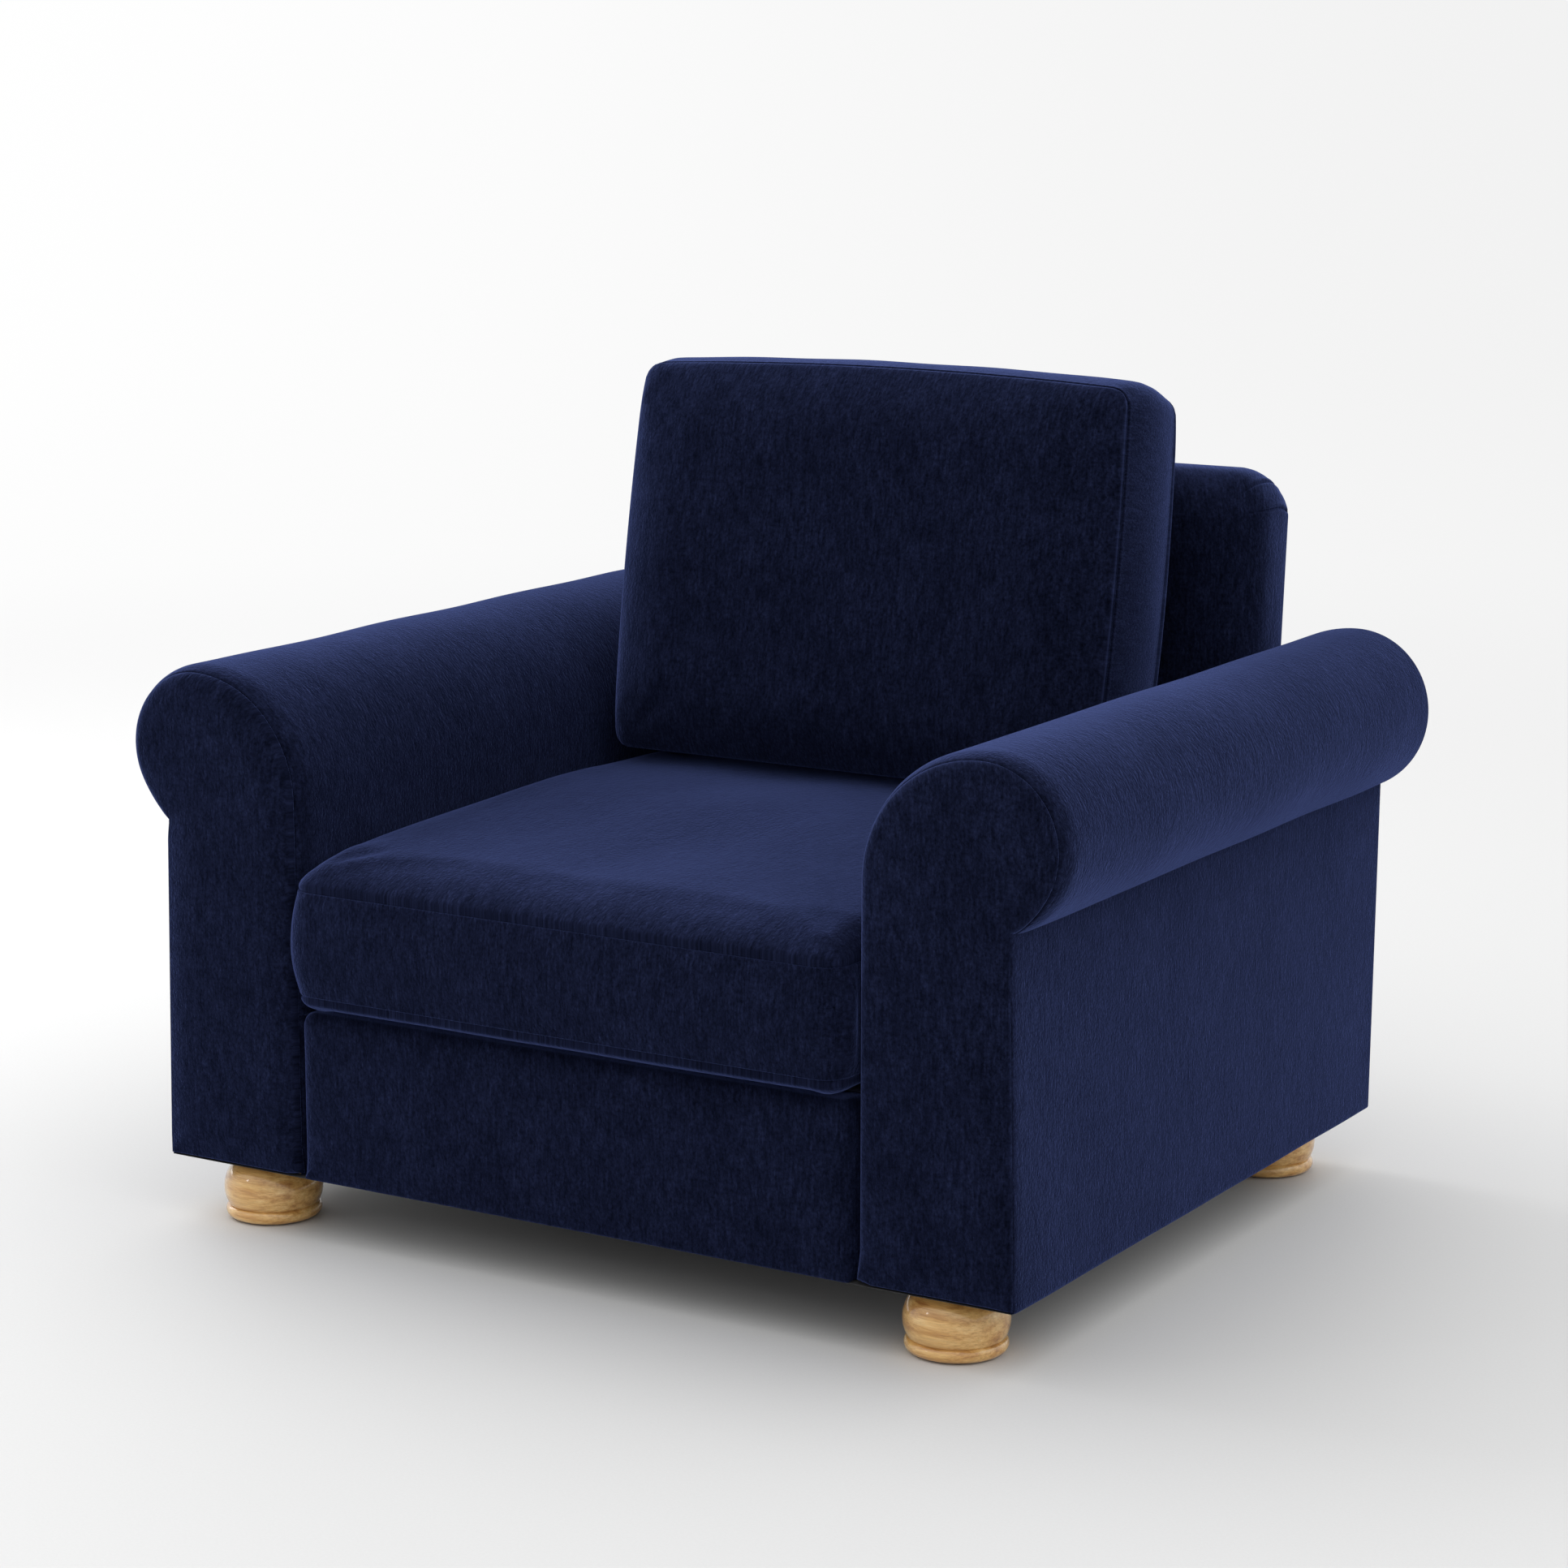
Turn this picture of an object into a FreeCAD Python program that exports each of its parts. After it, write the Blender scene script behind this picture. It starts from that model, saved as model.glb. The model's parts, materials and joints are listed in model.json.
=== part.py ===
"""Roll-arm upholstered armchair: timber frame, springs, padding, covers, two loose cushions, bun feet.

Millimetres, +Z up, origin on the floor under the middle of the chair. The sitter faces -Y and the
sitter's left is +X. The left arm is modelled and mirrored for the right one.
"""
import FreeCAD, Part
import math
import os
import Sketcher

Vector = FreeCAD.Vector

# ---------------------------------------------------------------- driving dimensions
DIMENSIONS = {
    # outline of the chair
    "hem": 66.5,                # underside of the upholstered body
    "front": -429,              # front plane of the arms
    "rear": 400.8,              # rear plane at the hem
    "rake": 0.075,              # how far the rear plane leans back for each unit of height
    # arm, seen from the front
    "arm_inner": 331,
    "arm_neck": 500,            # sharp corner under the roll
    "arm_hem": 508,
    "roll_x": 463.5,            # centre line of the roll
    "roll_top": 594.4,
    "roll_radius": 87.3,
    "inner_radius": 132.5,      # the larger curve from the top of the roll to the inside face
    # thicknesses
    "skin": 2,                  # cover fabric with its wadding
    "cloth": 1,                 # black cloth under the chair
    "fit": 0.5,                 # gap left between neighbouring pieces
    "facing": 10,               # foam behind the arm's front cover
    "front_foam": 12,           # foam behind the front rail's cover
    "board": 18,
    "board_inset": 8,           # front board inside its cover, for the soft seam round the arm
    "panel": 4,
    "arm_rail_low": 408,
    "arm_rail_top": 426,
    "padding": 20,
    # seat
    "seat_low": 88,             # underside of the seat rails
    "rail_top": 222,
    "rail_thick": 25,
    "side_top": 238,            # top of the side rails and foot of the inside-arm padding
    "deck_pad_low": 232,
    "deck_pad_top": 246,
    "deck_cloth": 1.5,
    "panel_top": 245,           # top of the front rail's cover
    "clip_room": 8.5,           # height of the spring clips under the padding
    # back rest
    "rest_half": 376,
    "rest_top": 766,
    "rest_corner": 50,
    "rest_depth": 101.3,
    "side_inset": 6,            # back frame inside its cover at the sides and at the top,
    "top_inset": 13,            # for the soft rear edge
    "post_depth": 45,
    "post_width": 36,
    "top_rail_low": 700,
    "mid_rail_low": 290,
    "mid_rail_top": 340,
    "mid_rail_thick": 38,
    "web_width": 50,
    "web_thick": 2,
    # feet
    "foot_x": 415.6,
    "foot_front_y": -371,
    "foot_rear_y": 337,
    "glide": 2.5,
    "glide_radius": 38,
    "bolt_radius": 4,
    "bolt_length": 65,
    # seat cushion
    "seat_half": 329,
    "seat_bottom": 250.5,
    "seat_front": -439,
    "seat_back": 303,
    "seat_front_top": 400,
    "seat_back_top": 407,
    "seat_bulge": 14.5,         # how far the front boxing stands out
    "seat_crown": 24,
    # back cushion
    "cushion_half": 306,
    "cushion_y": 119,           # lower edge of its front face
    "cushion_z": 440,
    "cushion_height": 428,
    "cushion_thick": 115,
    "cushion_lean": 9.7,
    "cushion_front_bulge": 28,
    "cushion_top_bulge": 30,
    "cushion_rear_bulge": 62,
    # zips
    "zip_half": 240,
    "tape_width": 24,
    "tape_thick": 1.2,
    "slider_long": 18,
    "slider_wide": 10,
    "slider_thick": 5,
    "slider_gap": 0.4,
    # springs
    "wire_radius": 1.8,
    "wire_height": 226,
    "spring_pitch": 24.8,
    "spring_leg": 44,
}
SPRING_LEGS = 33
SPRING_ROWS = (-232, -116, 0, 116, 232)
WEBBING_ROWS = (300, 372, 444, 516, 588, 660)
FAR = 900                       # beyond the chair on any side, and a run that passes its rear plane

doc = FreeCAD.newDocument("armchair")
sheet = doc.addObject("Spreadsheet::Sheet", "Sizes")
for row, (alias, number) in enumerate(DIMENSIONS.items(), start=1):
    sheet.set(f"A{row}", alias)
    sheet.set(f"B{row}", str(number))
    sheet.setAlias(f"B{row}", alias)
doc.recompute()

nodes = {}


def size(name):
    return float(getattr(sheet, name))


def value(expression):
    """The number that an expression over the sheet has now."""
    return float(sheet.evalExpression(str(expression)))


def node(label, shape_object):
    shape_object.Label = label
    nodes[label] = shape_object
    return shape_object


def new_body(label):
    body = doc.addObject("PartDesign::Body", label)
    body.Label = label
    return body


# ---------------------------------------------------------------- sketches and features
def arc_between(start, end, radius):
    """The shorter counter-clockwise arc from start to end."""
    chord = end - start
    half = chord.Length / 2
    left = Vector(-chord.y, chord.x, 0).normalize()
    centre = (start + end) * 0.5 + left * math.sqrt(radius * radius - half * half)
    first = math.atan2(start.y - centre.y, start.x - centre.x)
    last = math.atan2(end.y - centre.y, end.x - centre.x)
    if last < first:
        last += 2 * math.pi
    return Part.ArcOfCircle(Part.Circle(centre, Vector(0, 0, 1), radius), first, last)


def outline(body, plane, corners, arcs=None, offset="0"):
    """A closed sketch on one of the body's origin planes.

    corners are pairs of expressions, counter-clockwise; arcs gives the radius of each side that is
    an arc bulging outwards, by the number of its first corner; offset moves the sketch off its plane.
    """
    arcs = arcs or {}
    sketch = body.newObject("Sketcher::SketchObject", "Outline")
    origin_plane = [f for f in body.Origin.OriginFeatures if f.Role == plane][0]
    sketch.AttachmentSupport = [(origin_plane, "")]
    sketch.MapMode = "FlatFace"
    sketch.setExpression("AttachmentOffset.Base.z", str(offset))
    points = [Vector(value(across), value(up), 0) for across, up in corners]
    count = len(points)
    for index, point in enumerate(points):
        following = points[(index + 1) % count]
        if index in arcs:
            sketch.addGeometry(arc_between(point, following, value(arcs[index])), False)
        else:
            sketch.addGeometry(Part.LineSegment(point, following), False)
    for index in range(count):
        sketch.addConstraint(Sketcher.Constraint("Coincident", index, 2, (index + 1) % count, 1))
    for index, (across, up) in enumerate(corners):
        bind(sketch, ("DistanceX", -1, 1, index, 1, points[index].x), f"across{index}", across)
        bind(sketch, ("DistanceY", -1, 1, index, 1, points[index].y), f"up{index}", up)
    for index, radius in arcs.items():
        bind(sketch, ("Radius", index, value(radius)), f"radius{index}", radius)
    return sketch


def bind(sketch, constraint, name, expression):
    number = sketch.addConstraint(Sketcher.Constraint(*constraint))
    sketch.renameConstraint(number, name)
    sketch.setExpression(f"Constraints.{name}", str(expression))


def pad(body, sketch, length, backwards=False, middle=False):
    feature = body.newObject("PartDesign::Pad", "Pad")
    feature.Profile = sketch
    feature.Reversed = backwards
    feature.Midplane = middle
    feature.setExpression("Length", str(length))
    return feature


def pocket(body, sketch, length=None):
    """Cuts the outline away: length into the body, or without one right through it both ways."""
    feature = body.newObject("PartDesign::Pocket", "Pocket")
    feature.Profile = sketch
    if length is None:
        feature.Type = "ThroughAll"
        feature.Midplane = True
    else:
        feature.setExpression("Length", str(length))
    return feature


def rectangle(low_across, low_up, high_across, high_up):
    return [(low_across, low_up), (high_across, low_up), (high_across, high_up), (low_across, high_up)]


def along_y(label, corners, start, length, arcs=None):
    """A solid with this front view, from y = start backwards."""
    body = new_body(label)
    pad(body, outline(body, "XZ_Plane", corners, arcs, f"-({start})"), length, backwards=True)
    return body


def along_x(label, corners, half=None, start=None, length=None, arcs=None):
    """A solid with this side view, to half on both sides or from x = start outwards."""
    body = new_body(label)
    if half is None:
        pad(body, outline(body, "YZ_Plane", corners, arcs, start), length)
    else:
        pad(body, outline(body, "YZ_Plane", corners, arcs), f"2 * ({half})", middle=True)
    return body


def box(label, low, high):
    """A straight board or block between two corners given as expressions."""
    block = doc.addObject("Part::Box", label)
    for side, first, last in zip(("Length", "Width", "Height"), low, high):
        block.setExpression(side, f"({last}) - ({first})")
    for axis, first in zip("xyz", low):
        block.setExpression(f"Placement.Base.{axis}", str(first))
    return block


def cylinder(radius, height, place):
    rod = doc.addObject("Part::Cylinder", "Cylinder")
    rod.setExpression("Radius", str(radius))
    rod.setExpression("Height", str(height))
    for axis, where in zip("xyz", place):
        rod.setExpression(f"Placement.Base.{axis}", str(where))
    return rod


def cut(label, base, tool):
    result = doc.addObject("Part::Cut", label)
    result.Base = base
    result.Tool = tool
    return result


def group(label, members):
    compound = doc.addObject("Part::Compound", label)
    compound.Links = members
    return compound


def mirrored(label, source):
    copy = doc.addObject("Part::Mirroring", label)
    copy.Source = source
    copy.Normal = Vector(1, 0, 0)
    return copy


def both_sides(name, left):
    """Names the left piece and adds its mirror image for the right."""
    doc.recompute()
    node(f"left_{name}", left)
    node(f"right_{name}", mirrored(f"right_{name}", left))


# ---------------------------------------------------------------- the leaning rear plane
def leaning(gap, height):
    """y of the plane parallel to the rear one, gap in front of it, at this height."""
    return f"Sizes.rear + Sizes.rake * ({height} - Sizes.hem) - ({gap})"


def cut_behind(body, gap):
    corners = [(leaning(gap, 0), 0), (FAR, 0), (FAR, FAR), (leaning(gap, FAR), FAR)]
    pocket(body, outline(body, "YZ_Plane", corners))
    return body


def cut_before(body, gap):
    corners = [(-FAR, 0), (leaning(gap, 0), 0), (leaning(gap, FAR), FAR), (-FAR, FAR)]
    pocket(body, outline(body, "YZ_Plane", corners))
    return body


def leaning_slab(label, corners, near_gap, far_gap, arcs=None):
    """A board with this front view between two planes parallel to the rear one."""
    start, run = 200, 400       # holds the whole space near the rear plane
    body = along_y(label, corners, start, run, arcs)
    cut_behind(body, near_gap)
    return cut_before(body, far_gap)


def arch(half, low, top, corner):
    """Front view of the back rest: a rectangle with rounded upper corners."""
    corners = [
        (f"-({half})", low), (half, low), (half, f"{top} - ({corner})"), (f"{half} - ({corner})", top),
        (f"-({half}) + {corner}", top), (f"-({half})", f"{top} - ({corner})"),
    ]
    return corners, {2: corner, 4: corner}


# ---------------------------------------------------------------- arms
NECK_Z = ("(Sizes.roll_top - Sizes.roll_radius"
          " - sqrt((Sizes.roll_radius - {0})^2 - (Sizes.arm_neck - {0} - Sizes.roll_x)^2))")
OUTER_X = ("(Sizes.arm_neck + (Sizes.arm_hem - Sizes.arm_neck)"
           " * (" + NECK_Z.format(0) + " - ({0})) / (" + NECK_Z.format(0) + " - Sizes.hem))")


def arm_view(inset, low):
    """Front view of the left arm, this far inside its cover and down to this height."""
    outer = f"{OUTER_X.format(low)} - {inset}"
    corners = [
        (f"Sizes.arm_inner + {inset}", low),
        (outer, low),
        (f"{OUTER_X.format(NECK_Z.format(inset))} - {inset}", NECK_Z.format(inset)),
        ("Sizes.roll_x", f"Sizes.roll_top - {inset}"),
        (f"Sizes.arm_inner + {inset}", "Sizes.roll_top - Sizes.inner_radius"),
    ]
    arcs = {2: f"Sizes.roll_radius - {inset}", 3: f"Sizes.inner_radius - {inset}"}
    return corners, arcs


def cut_for_back_rest(body):
    """Leaves room for the back rest, which stands between and partly behind the rolls."""
    corners = [(leaning(BEFORE_REST, 0), 0), (FAR, 0), (FAR, FAR), (leaning(BEFORE_REST, FAR), FAR)]
    shadowed = 80               # the rest hides this width of the arm from the front
    pocket(body, outline(body, "YZ_Plane", corners, offset="Sizes.rest_half + Sizes.fit"), shadowed)
    return body


INSIDE = "Sizes.skin"
BEHIND_FRONT = "Sizes.front + Sizes.skin + Sizes.facing + Sizes.board"
BEFORE_REST = "Sizes.rest_depth + 2 * Sizes.fit"
ABOVE_CLOTH = "Sizes.hem + Sizes.cloth"
FRONT_RAIL_FACE = "Sizes.front + Sizes.skin + Sizes.front_foam"
INNER_PANEL_X = "Sizes.arm_inner + Sizes.skin + Sizes.padding"
REAR_BOARD_FRONT = "Sizes.skin + Sizes.board"
POST_FRONT = "Sizes.skin + Sizes.post_depth"
BLOCK_OUTER_X = "Sizes.arm_inner + Sizes.skin - Sizes.fit"
SPRING_FRONT = f"{FRONT_RAIL_FACE} + Sizes.rail_thick / 2"


def make_arm_frame():
    corners, arcs = arm_view("(Sizes.skin + Sizes.board_inset)", ABOVE_CLOTH)
    both_sides("arm_front_board", along_y(
        "arm_front_board", corners, "Sizes.front + Sizes.skin + Sizes.facing", "Sizes.board", arcs))

    corners, arcs = arm_view(INSIDE, "Sizes.seat_low")
    rear_board = leaning_slab("arm_rear_board", corners, INSIDE, REAR_BOARD_FRONT, arcs)
    behind_rest = rectangle(0, 0, "Sizes.rest_half + Sizes.fit", FAR)
    pocket(rear_board, outline(rear_board, "XZ_Plane", behind_rest))
    both_sides("arm_rear_board", rear_board)

    base_view = rectangle("Sizes.arm_inner + Sizes.skin", ABOVE_CLOTH,
                          "Sizes.arm_neck", "Sizes.seat_low - Sizes.fit")
    base = along_y("arm_base_board", base_view, BEHIND_FRONT, FAR)
    cut_behind(base, REAR_BOARD_FRONT)
    hole_radius, hole_low, hole_run = 6, 50, 60
    for foot_y in ("Sizes.foot_front_y", "Sizes.foot_rear_y"):
        hole = cylinder(hole_radius, hole_run, ("Sizes.foot_x", foot_y, hole_low))
        base = cut("arm_base_board", base, hole)
    both_sides("arm_base_board", base)

    outer_end = "Sizes.arm_neck - Sizes.skin - Sizes.panel - 2 * Sizes.fit"
    top_rail = along_y("arm_top_rail", rectangle("Sizes.rest_half + Sizes.skin", "Sizes.arm_rail_low",
                                                 outer_end, "Sizes.arm_rail_top"), BEHIND_FRONT, FAR)
    both_sides("arm_top_rail", cut_behind(top_rail, REAR_BOARD_FRONT))

    low, high = "Sizes.hem + 2 * Sizes.cloth", "Sizes.arm_rail_top"
    panel_view = [
        (f"{OUTER_X.format(low)} - Sizes.skin - Sizes.panel", low),
        (f"{OUTER_X.format(low)} - Sizes.skin", low),
        (f"{OUTER_X.format(high)} - Sizes.skin", high),
        (f"{OUTER_X.format(high)} - Sizes.skin - Sizes.panel", high),
    ]
    outer_panel = along_y("arm_outer_panel", panel_view, BEHIND_FRONT, FAR)
    both_sides("arm_outer_panel", cut_behind(outer_panel, REAR_BOARD_FRONT))

    near = f"{INNER_PANEL_X} + Sizes.fit"
    inner_panel = along_y("arm_inner_panel", rectangle(near, "Sizes.side_top", f"{near} + Sizes.panel",
                                                       "Sizes.arm_rail_top"), BEHIND_FRONT, FAR)
    cut_behind(inner_panel, BEFORE_REST)
    doc.recompute()
    node("arm_inner_panels", group("arm_inner_panels", [inner_panel, mirrored("other_panel", inner_panel)]))


def make_arm_padding():
    corners, arcs = arm_view(INSIDE, "Sizes.arm_rail_top + Sizes.fit")
    roll = along_y("arm_roll_pad", corners, BEHIND_FRONT, FAR, arcs)
    cut_behind(roll, REAR_BOARD_FRONT)
    both_sides("arm_roll_pad", cut_for_back_rest(roll))

    inside_view = rectangle("Sizes.arm_inner + Sizes.skin", "Sizes.side_top + Sizes.fit",
                            INNER_PANEL_X, "Sizes.arm_rail_top")
    inside = along_y("inside_arm_pad", inside_view, BEHIND_FRONT, FAR)
    both_sides("inside_arm_pad", cut_behind(inside, BEFORE_REST))

    corners, arcs = arm_view(INSIDE, ABOVE_CLOTH)
    front_pad = along_y("arm_front_pad", corners, "Sizes.front + Sizes.skin", "Sizes.facing", arcs)
    doc.recompute()
    node("arm_front_pads", group("arm_front_pads", [front_pad, mirrored("other_front_pad", front_pad)]))


def make_arm_covers():
    corners, arcs = arm_view(0, "Sizes.hem")
    both_sides("arm_front_cover", along_y(
        "arm_front_cover", corners, "Sizes.front", "Sizes.skin", arcs))

    corners, arcs = arm_view(0, "Sizes.side_top + Sizes.fit")
    wrap = along_y("arm_cover", corners, "Sizes.front + Sizes.skin", FAR, arcs)
    inner_corners, inner_arcs = arm_view(INSIDE, "Sizes.rail_top")
    pocket(wrap, outline(wrap, "XZ_Plane", inner_corners, inner_arcs))
    below_neck = rectangle("Sizes.roll_x", 0, FAR, NECK_Z.format(0))
    pocket(wrap, outline(wrap, "XZ_Plane", below_neck))
    cut_behind(wrap, INSIDE)
    both_sides("arm_cover", cut_for_back_rest(wrap))

    high = f"{NECK_Z.format(0)} - 2 * Sizes.fit"
    side_view = [
        ("Sizes.arm_hem - Sizes.skin", "Sizes.hem"), ("Sizes.arm_hem", "Sizes.hem"),
        (OUTER_X.format(high), high), (f"{OUTER_X.format(high)} - Sizes.skin", high),
    ]
    outside = along_y("arm_outside_cover", side_view, "Sizes.front + Sizes.skin", FAR)
    both_sides("arm_outside_cover", cut_behind(outside, INSIDE))


# ---------------------------------------------------------------- seat frame, springs and deck
def make_seat_frame():
    half = "Sizes.arm_inner + 2 * Sizes.fit"
    rail_rear = f"{FRONT_RAIL_FACE} + Sizes.rail_thick"
    node("front_rail", box("front_rail", (f"-({half})", FRONT_RAIL_FACE, "Sizes.hem + 2 * Sizes.cloth"),
                           (half, rail_rear, "Sizes.rail_top")))
    between_posts = "Sizes.rest_half - Sizes.side_inset - Sizes.post_width - Sizes.fit"
    node("rear_rail", leaning_slab("rear_rail", rectangle(f"-({between_posts})", "Sizes.seat_low",
                                                          between_posts, "Sizes.rail_top"),
                                   INSIDE, "Sizes.skin + Sizes.rail_thick"))

    side = along_y("side_rail", rectangle("Sizes.arm_inner + Sizes.skin", "Sizes.seat_low",
                                          INNER_PANEL_X, "Sizes.side_top"), BEHIND_FRONT, FAR)
    both_sides("side_rail", cut_behind(side, "Sizes.skin + Sizes.post_depth + 2 * Sizes.fit"))

    half_width, low, top = 30, 70, 95
    stretcher = along_y("centre_stretcher", rectangle(-half_width, low, half_width, top), rail_rear, FAR)
    node("centre_stretcher", cut_behind(stretcher, "Sizes.skin + Sizes.rail_thick"))
    make_corner_blocks(rail_rear)


def make_corner_blocks(front_corner_y):
    """A triangular block screwed into each inner corner of the seat frame."""
    inner = BLOCK_OUTER_X
    leg = 75
    low, thick = 140, 40
    rear_corner_y = leaning("Sizes.skin + Sizes.rail_thick", low)
    blocks = []
    screws = []
    for corner_y, way in ((front_corner_y, 1), (rear_corner_y, -1)):
        corners = [(inner, corner_y), (inner, f"{corner_y} + {way * leg}"), (f"{inner} - {leg}", corner_y)]
        if way < 0:
            corners.reverse()
        block = new_body("corner_block")
        pad(block, outline(block, "XY_Plane", corners, offset=low), thick)
        doc.recompute()
        blocks += [block, mirrored("corner_block", block)]
        screws += corner_screws(corner_y, way, low + thick / 2)
    node("corner_blocks", group("corner_blocks", blocks))
    node("frame_screws", group("frame_screws", screws))


def corner_screws(corner_y, way, height):
    """Two wood screws in each block: one into the side rail, one into the front or rear rail."""
    length, radius = 50, 2.5
    head_to_side_rail, along_side_rail = 36, 30
    head_to_end_rail, along_end_rail = 26, 40
    apart = 10                  # the two screws pass at different heights
    inner = value(BLOCK_OUTER_X)
    y = value(corner_y)
    screws = []
    for side in (1, -1):
        starts = (
            (Vector(side * (inner - head_to_side_rail), y + way * along_side_rail, height),
             Vector(side, 0, 0)),
            (Vector(side * (inner - along_end_rail), y + way * head_to_end_rail, height + apart),
             Vector(0, -way, 0)),
        )
        for start, direction in starts:
            screw = doc.addObject("Part::Cylinder", "screw")
            screw.Radius = radius
            screw.Height = length
            screw.Placement = FreeCAD.Placement(start, FreeCAD.Rotation(Vector(0, 0, 1), direction))
            screws.append(screw)
    return screws


def spring_path(x):
    """One sinuous spring seen from above: legs across, joined by half circles at alternate ends."""
    turn = size("spring_pitch") / 2
    half_leg = size("spring_leg") / 2
    height = size("wire_height")
    y = value(SPRING_FRONT)
    edges = []
    side = 1
    for leg in range(SPRING_LEGS):
        start = Vector(x - side * half_leg, y, height)
        end = Vector(x + side * half_leg, y, height)
        edges.append(Part.LineSegment(start, end).toShape())
        if leg < SPRING_LEGS - 1:
            middle = Vector(x + side * (half_leg + turn), y + turn, height)
            after = Vector(end.x, y + 2 * turn, height)
            edges.append(Part.Arc(end, middle, after).toShape())
        side = -side
        y += 2 * turn
    return Part.Wire(edges)


def make_springs():
    springs = []
    for x in SPRING_ROWS:
        path = spring_path(x)
        start = path.OrderedVertexes[0].Point
        section = Part.Wire([Part.Circle(start, Vector(1, 0, 0), size("wire_radius")).toShape()])
        springs.append(path.makePipeShell([section], True, False))
    feature = doc.addObject("Part::Feature", "seat_springs")
    feature.Shape = Part.Compound(springs)
    node("seat_springs", feature)

    rear_y = f"{SPRING_FRONT} + Sizes.spring_pitch * {SPRING_LEGS - 1}"
    half_width = 9
    clips = []
    for wire_y, way in ((SPRING_FRONT, 1), (rear_y, -1)):
        corners = clip_view(wire_y, way)
        for x in SPRING_ROWS:
            clips.append(along_x("spring_clip", corners, start=x - half_width, length=2 * half_width))
    node("spring_clips", group("spring_clips", clips))


def clip_view(wire_y, way):
    """Side view of a folded steel clip, closed on the rail's outer side and open to the spring."""
    low = "Sizes.rail_top"
    sheet_thick, play = 1.4, 0.4
    closed_end, open_end = 6, 7
    top = f"Sizes.wire_height + Sizes.wire_radius + {play} + {sheet_thick}"
    wall, inside, tip = -closed_end * way, (sheet_thick - closed_end) * way, open_end * way
    corners = [
        (f"{wire_y} + {wall}", low), (f"{wire_y} + {tip}", low),
        (f"{wire_y} + {tip}", f"{low} + {sheet_thick}"), (f"{wire_y} + {inside}", f"{low} + {sheet_thick}"),
        (f"{wire_y} + {inside}", f"{top} - {sheet_thick}"), (f"{wire_y} + {tip}", f"{top} - {sheet_thick}"),
        (f"{wire_y} + {tip}", top), (f"{wire_y} + {wall}", top),
    ]
    if way < 0:
        corners.reverse()
    return corners


def make_seat_upholstery():
    front, skin = "Sizes.front", "Sizes.skin"
    back = f"{FRONT_RAIL_FACE} + Sizes.rail_thick + {skin}"
    low, over_clips = "Sizes.hem + 2 * Sizes.cloth", "Sizes.rail_top + Sizes.clip_room"
    pad_view = [
        (f"{front} + {skin}", low), (FRONT_RAIL_FACE, low), (FRONT_RAIL_FACE, over_clips),
        (back, over_clips), (back, f"Sizes.panel_top - {skin}"),
        (f"{front} + {skin}", f"Sizes.panel_top - {skin}"),
    ]
    node("front_rail_pad", along_x("front_rail_pad", pad_view, half=f"Sizes.arm_inner - {skin}"))
    cover_view = [
        (front, "Sizes.hem"), (f"{front} + {skin}", "Sizes.hem"),
        (f"{front} + {skin}", f"Sizes.panel_top - {skin}"), (back, f"Sizes.panel_top - {skin}"),
        (back, "Sizes.panel_top"), (front, "Sizes.panel_top"),
    ]
    node("front_rail_cover", along_x("front_rail_cover", cover_view, half="Sizes.arm_inner - Sizes.fit"))

    half = "Sizes.arm_inner - 2 * Sizes.fit"
    deck = (("seat_deck_pad", "Sizes.deck_pad_low", "Sizes.deck_pad_top"),
            ("deck_cloth", "Sizes.deck_pad_top", "Sizes.deck_pad_top + Sizes.deck_cloth"))
    for label, low, high in deck:
        layer = along_y(label, rectangle(f"-({half})", low, half, high), f"{back} + Sizes.fit", FAR)
        node(label, cut_behind(layer, BEFORE_REST))

    half = "Sizes.arm_hem - Sizes.skin - Sizes.fit"
    cloth = box("dust_cloth", (f"-({half})", f"{front} + {skin}", "Sizes.hem"),
                (half, f"Sizes.rear - {skin}", ABOVE_CLOTH))
    hole_low, hole_run = 60, 20
    for x, y in foot_places():
        hole = cylinder("Sizes.bolt_radius + 2 * Sizes.fit", hole_run, (x, y, hole_low))
        cloth = cut("dust_cover", cloth, hole)
    node("dust_cover", cloth)


# ---------------------------------------------------------------- back rest
def make_back_frame():
    """Two posts, a top rail with rounded ends, a middle rail and webbing across the front."""
    half = "Sizes.rest_half - Sizes.side_inset"
    post_inner = f"{half} - Sizes.post_width"
    post = leaning_slab("back_post", rectangle(post_inner, "Sizes.seat_low", half, "Sizes.top_rail_low"),
                        INSIDE, POST_FRONT)
    both_sides("back_post", post)

    corners, arcs = arch(half, "Sizes.top_rail_low", "Sizes.rest_top - Sizes.top_inset",
                         "Sizes.rest_corner - Sizes.side_inset")
    node("back_top_rail", leaning_slab("back_top_rail", corners, INSIDE, POST_FRONT, arcs))
    mid_half = f"{post_inner} - Sizes.fit"
    mid = rectangle(f"-({mid_half})", "Sizes.mid_rail_low", mid_half, "Sizes.mid_rail_top")
    node("back_mid_rail", leaning_slab("back_mid_rail", mid, INSIDE, "Sizes.skin + Sizes.mid_rail_thick"))

    bands = []
    for low in WEBBING_ROWS:
        band = rectangle(f"-({half})", low, half, f"{low} + Sizes.web_width")
        bands.append(leaning_slab("back_web", band, POST_FRONT, f"{POST_FRONT} + Sizes.web_thick"))
    node("back_webbing", group("back_webbing", bands))


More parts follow.
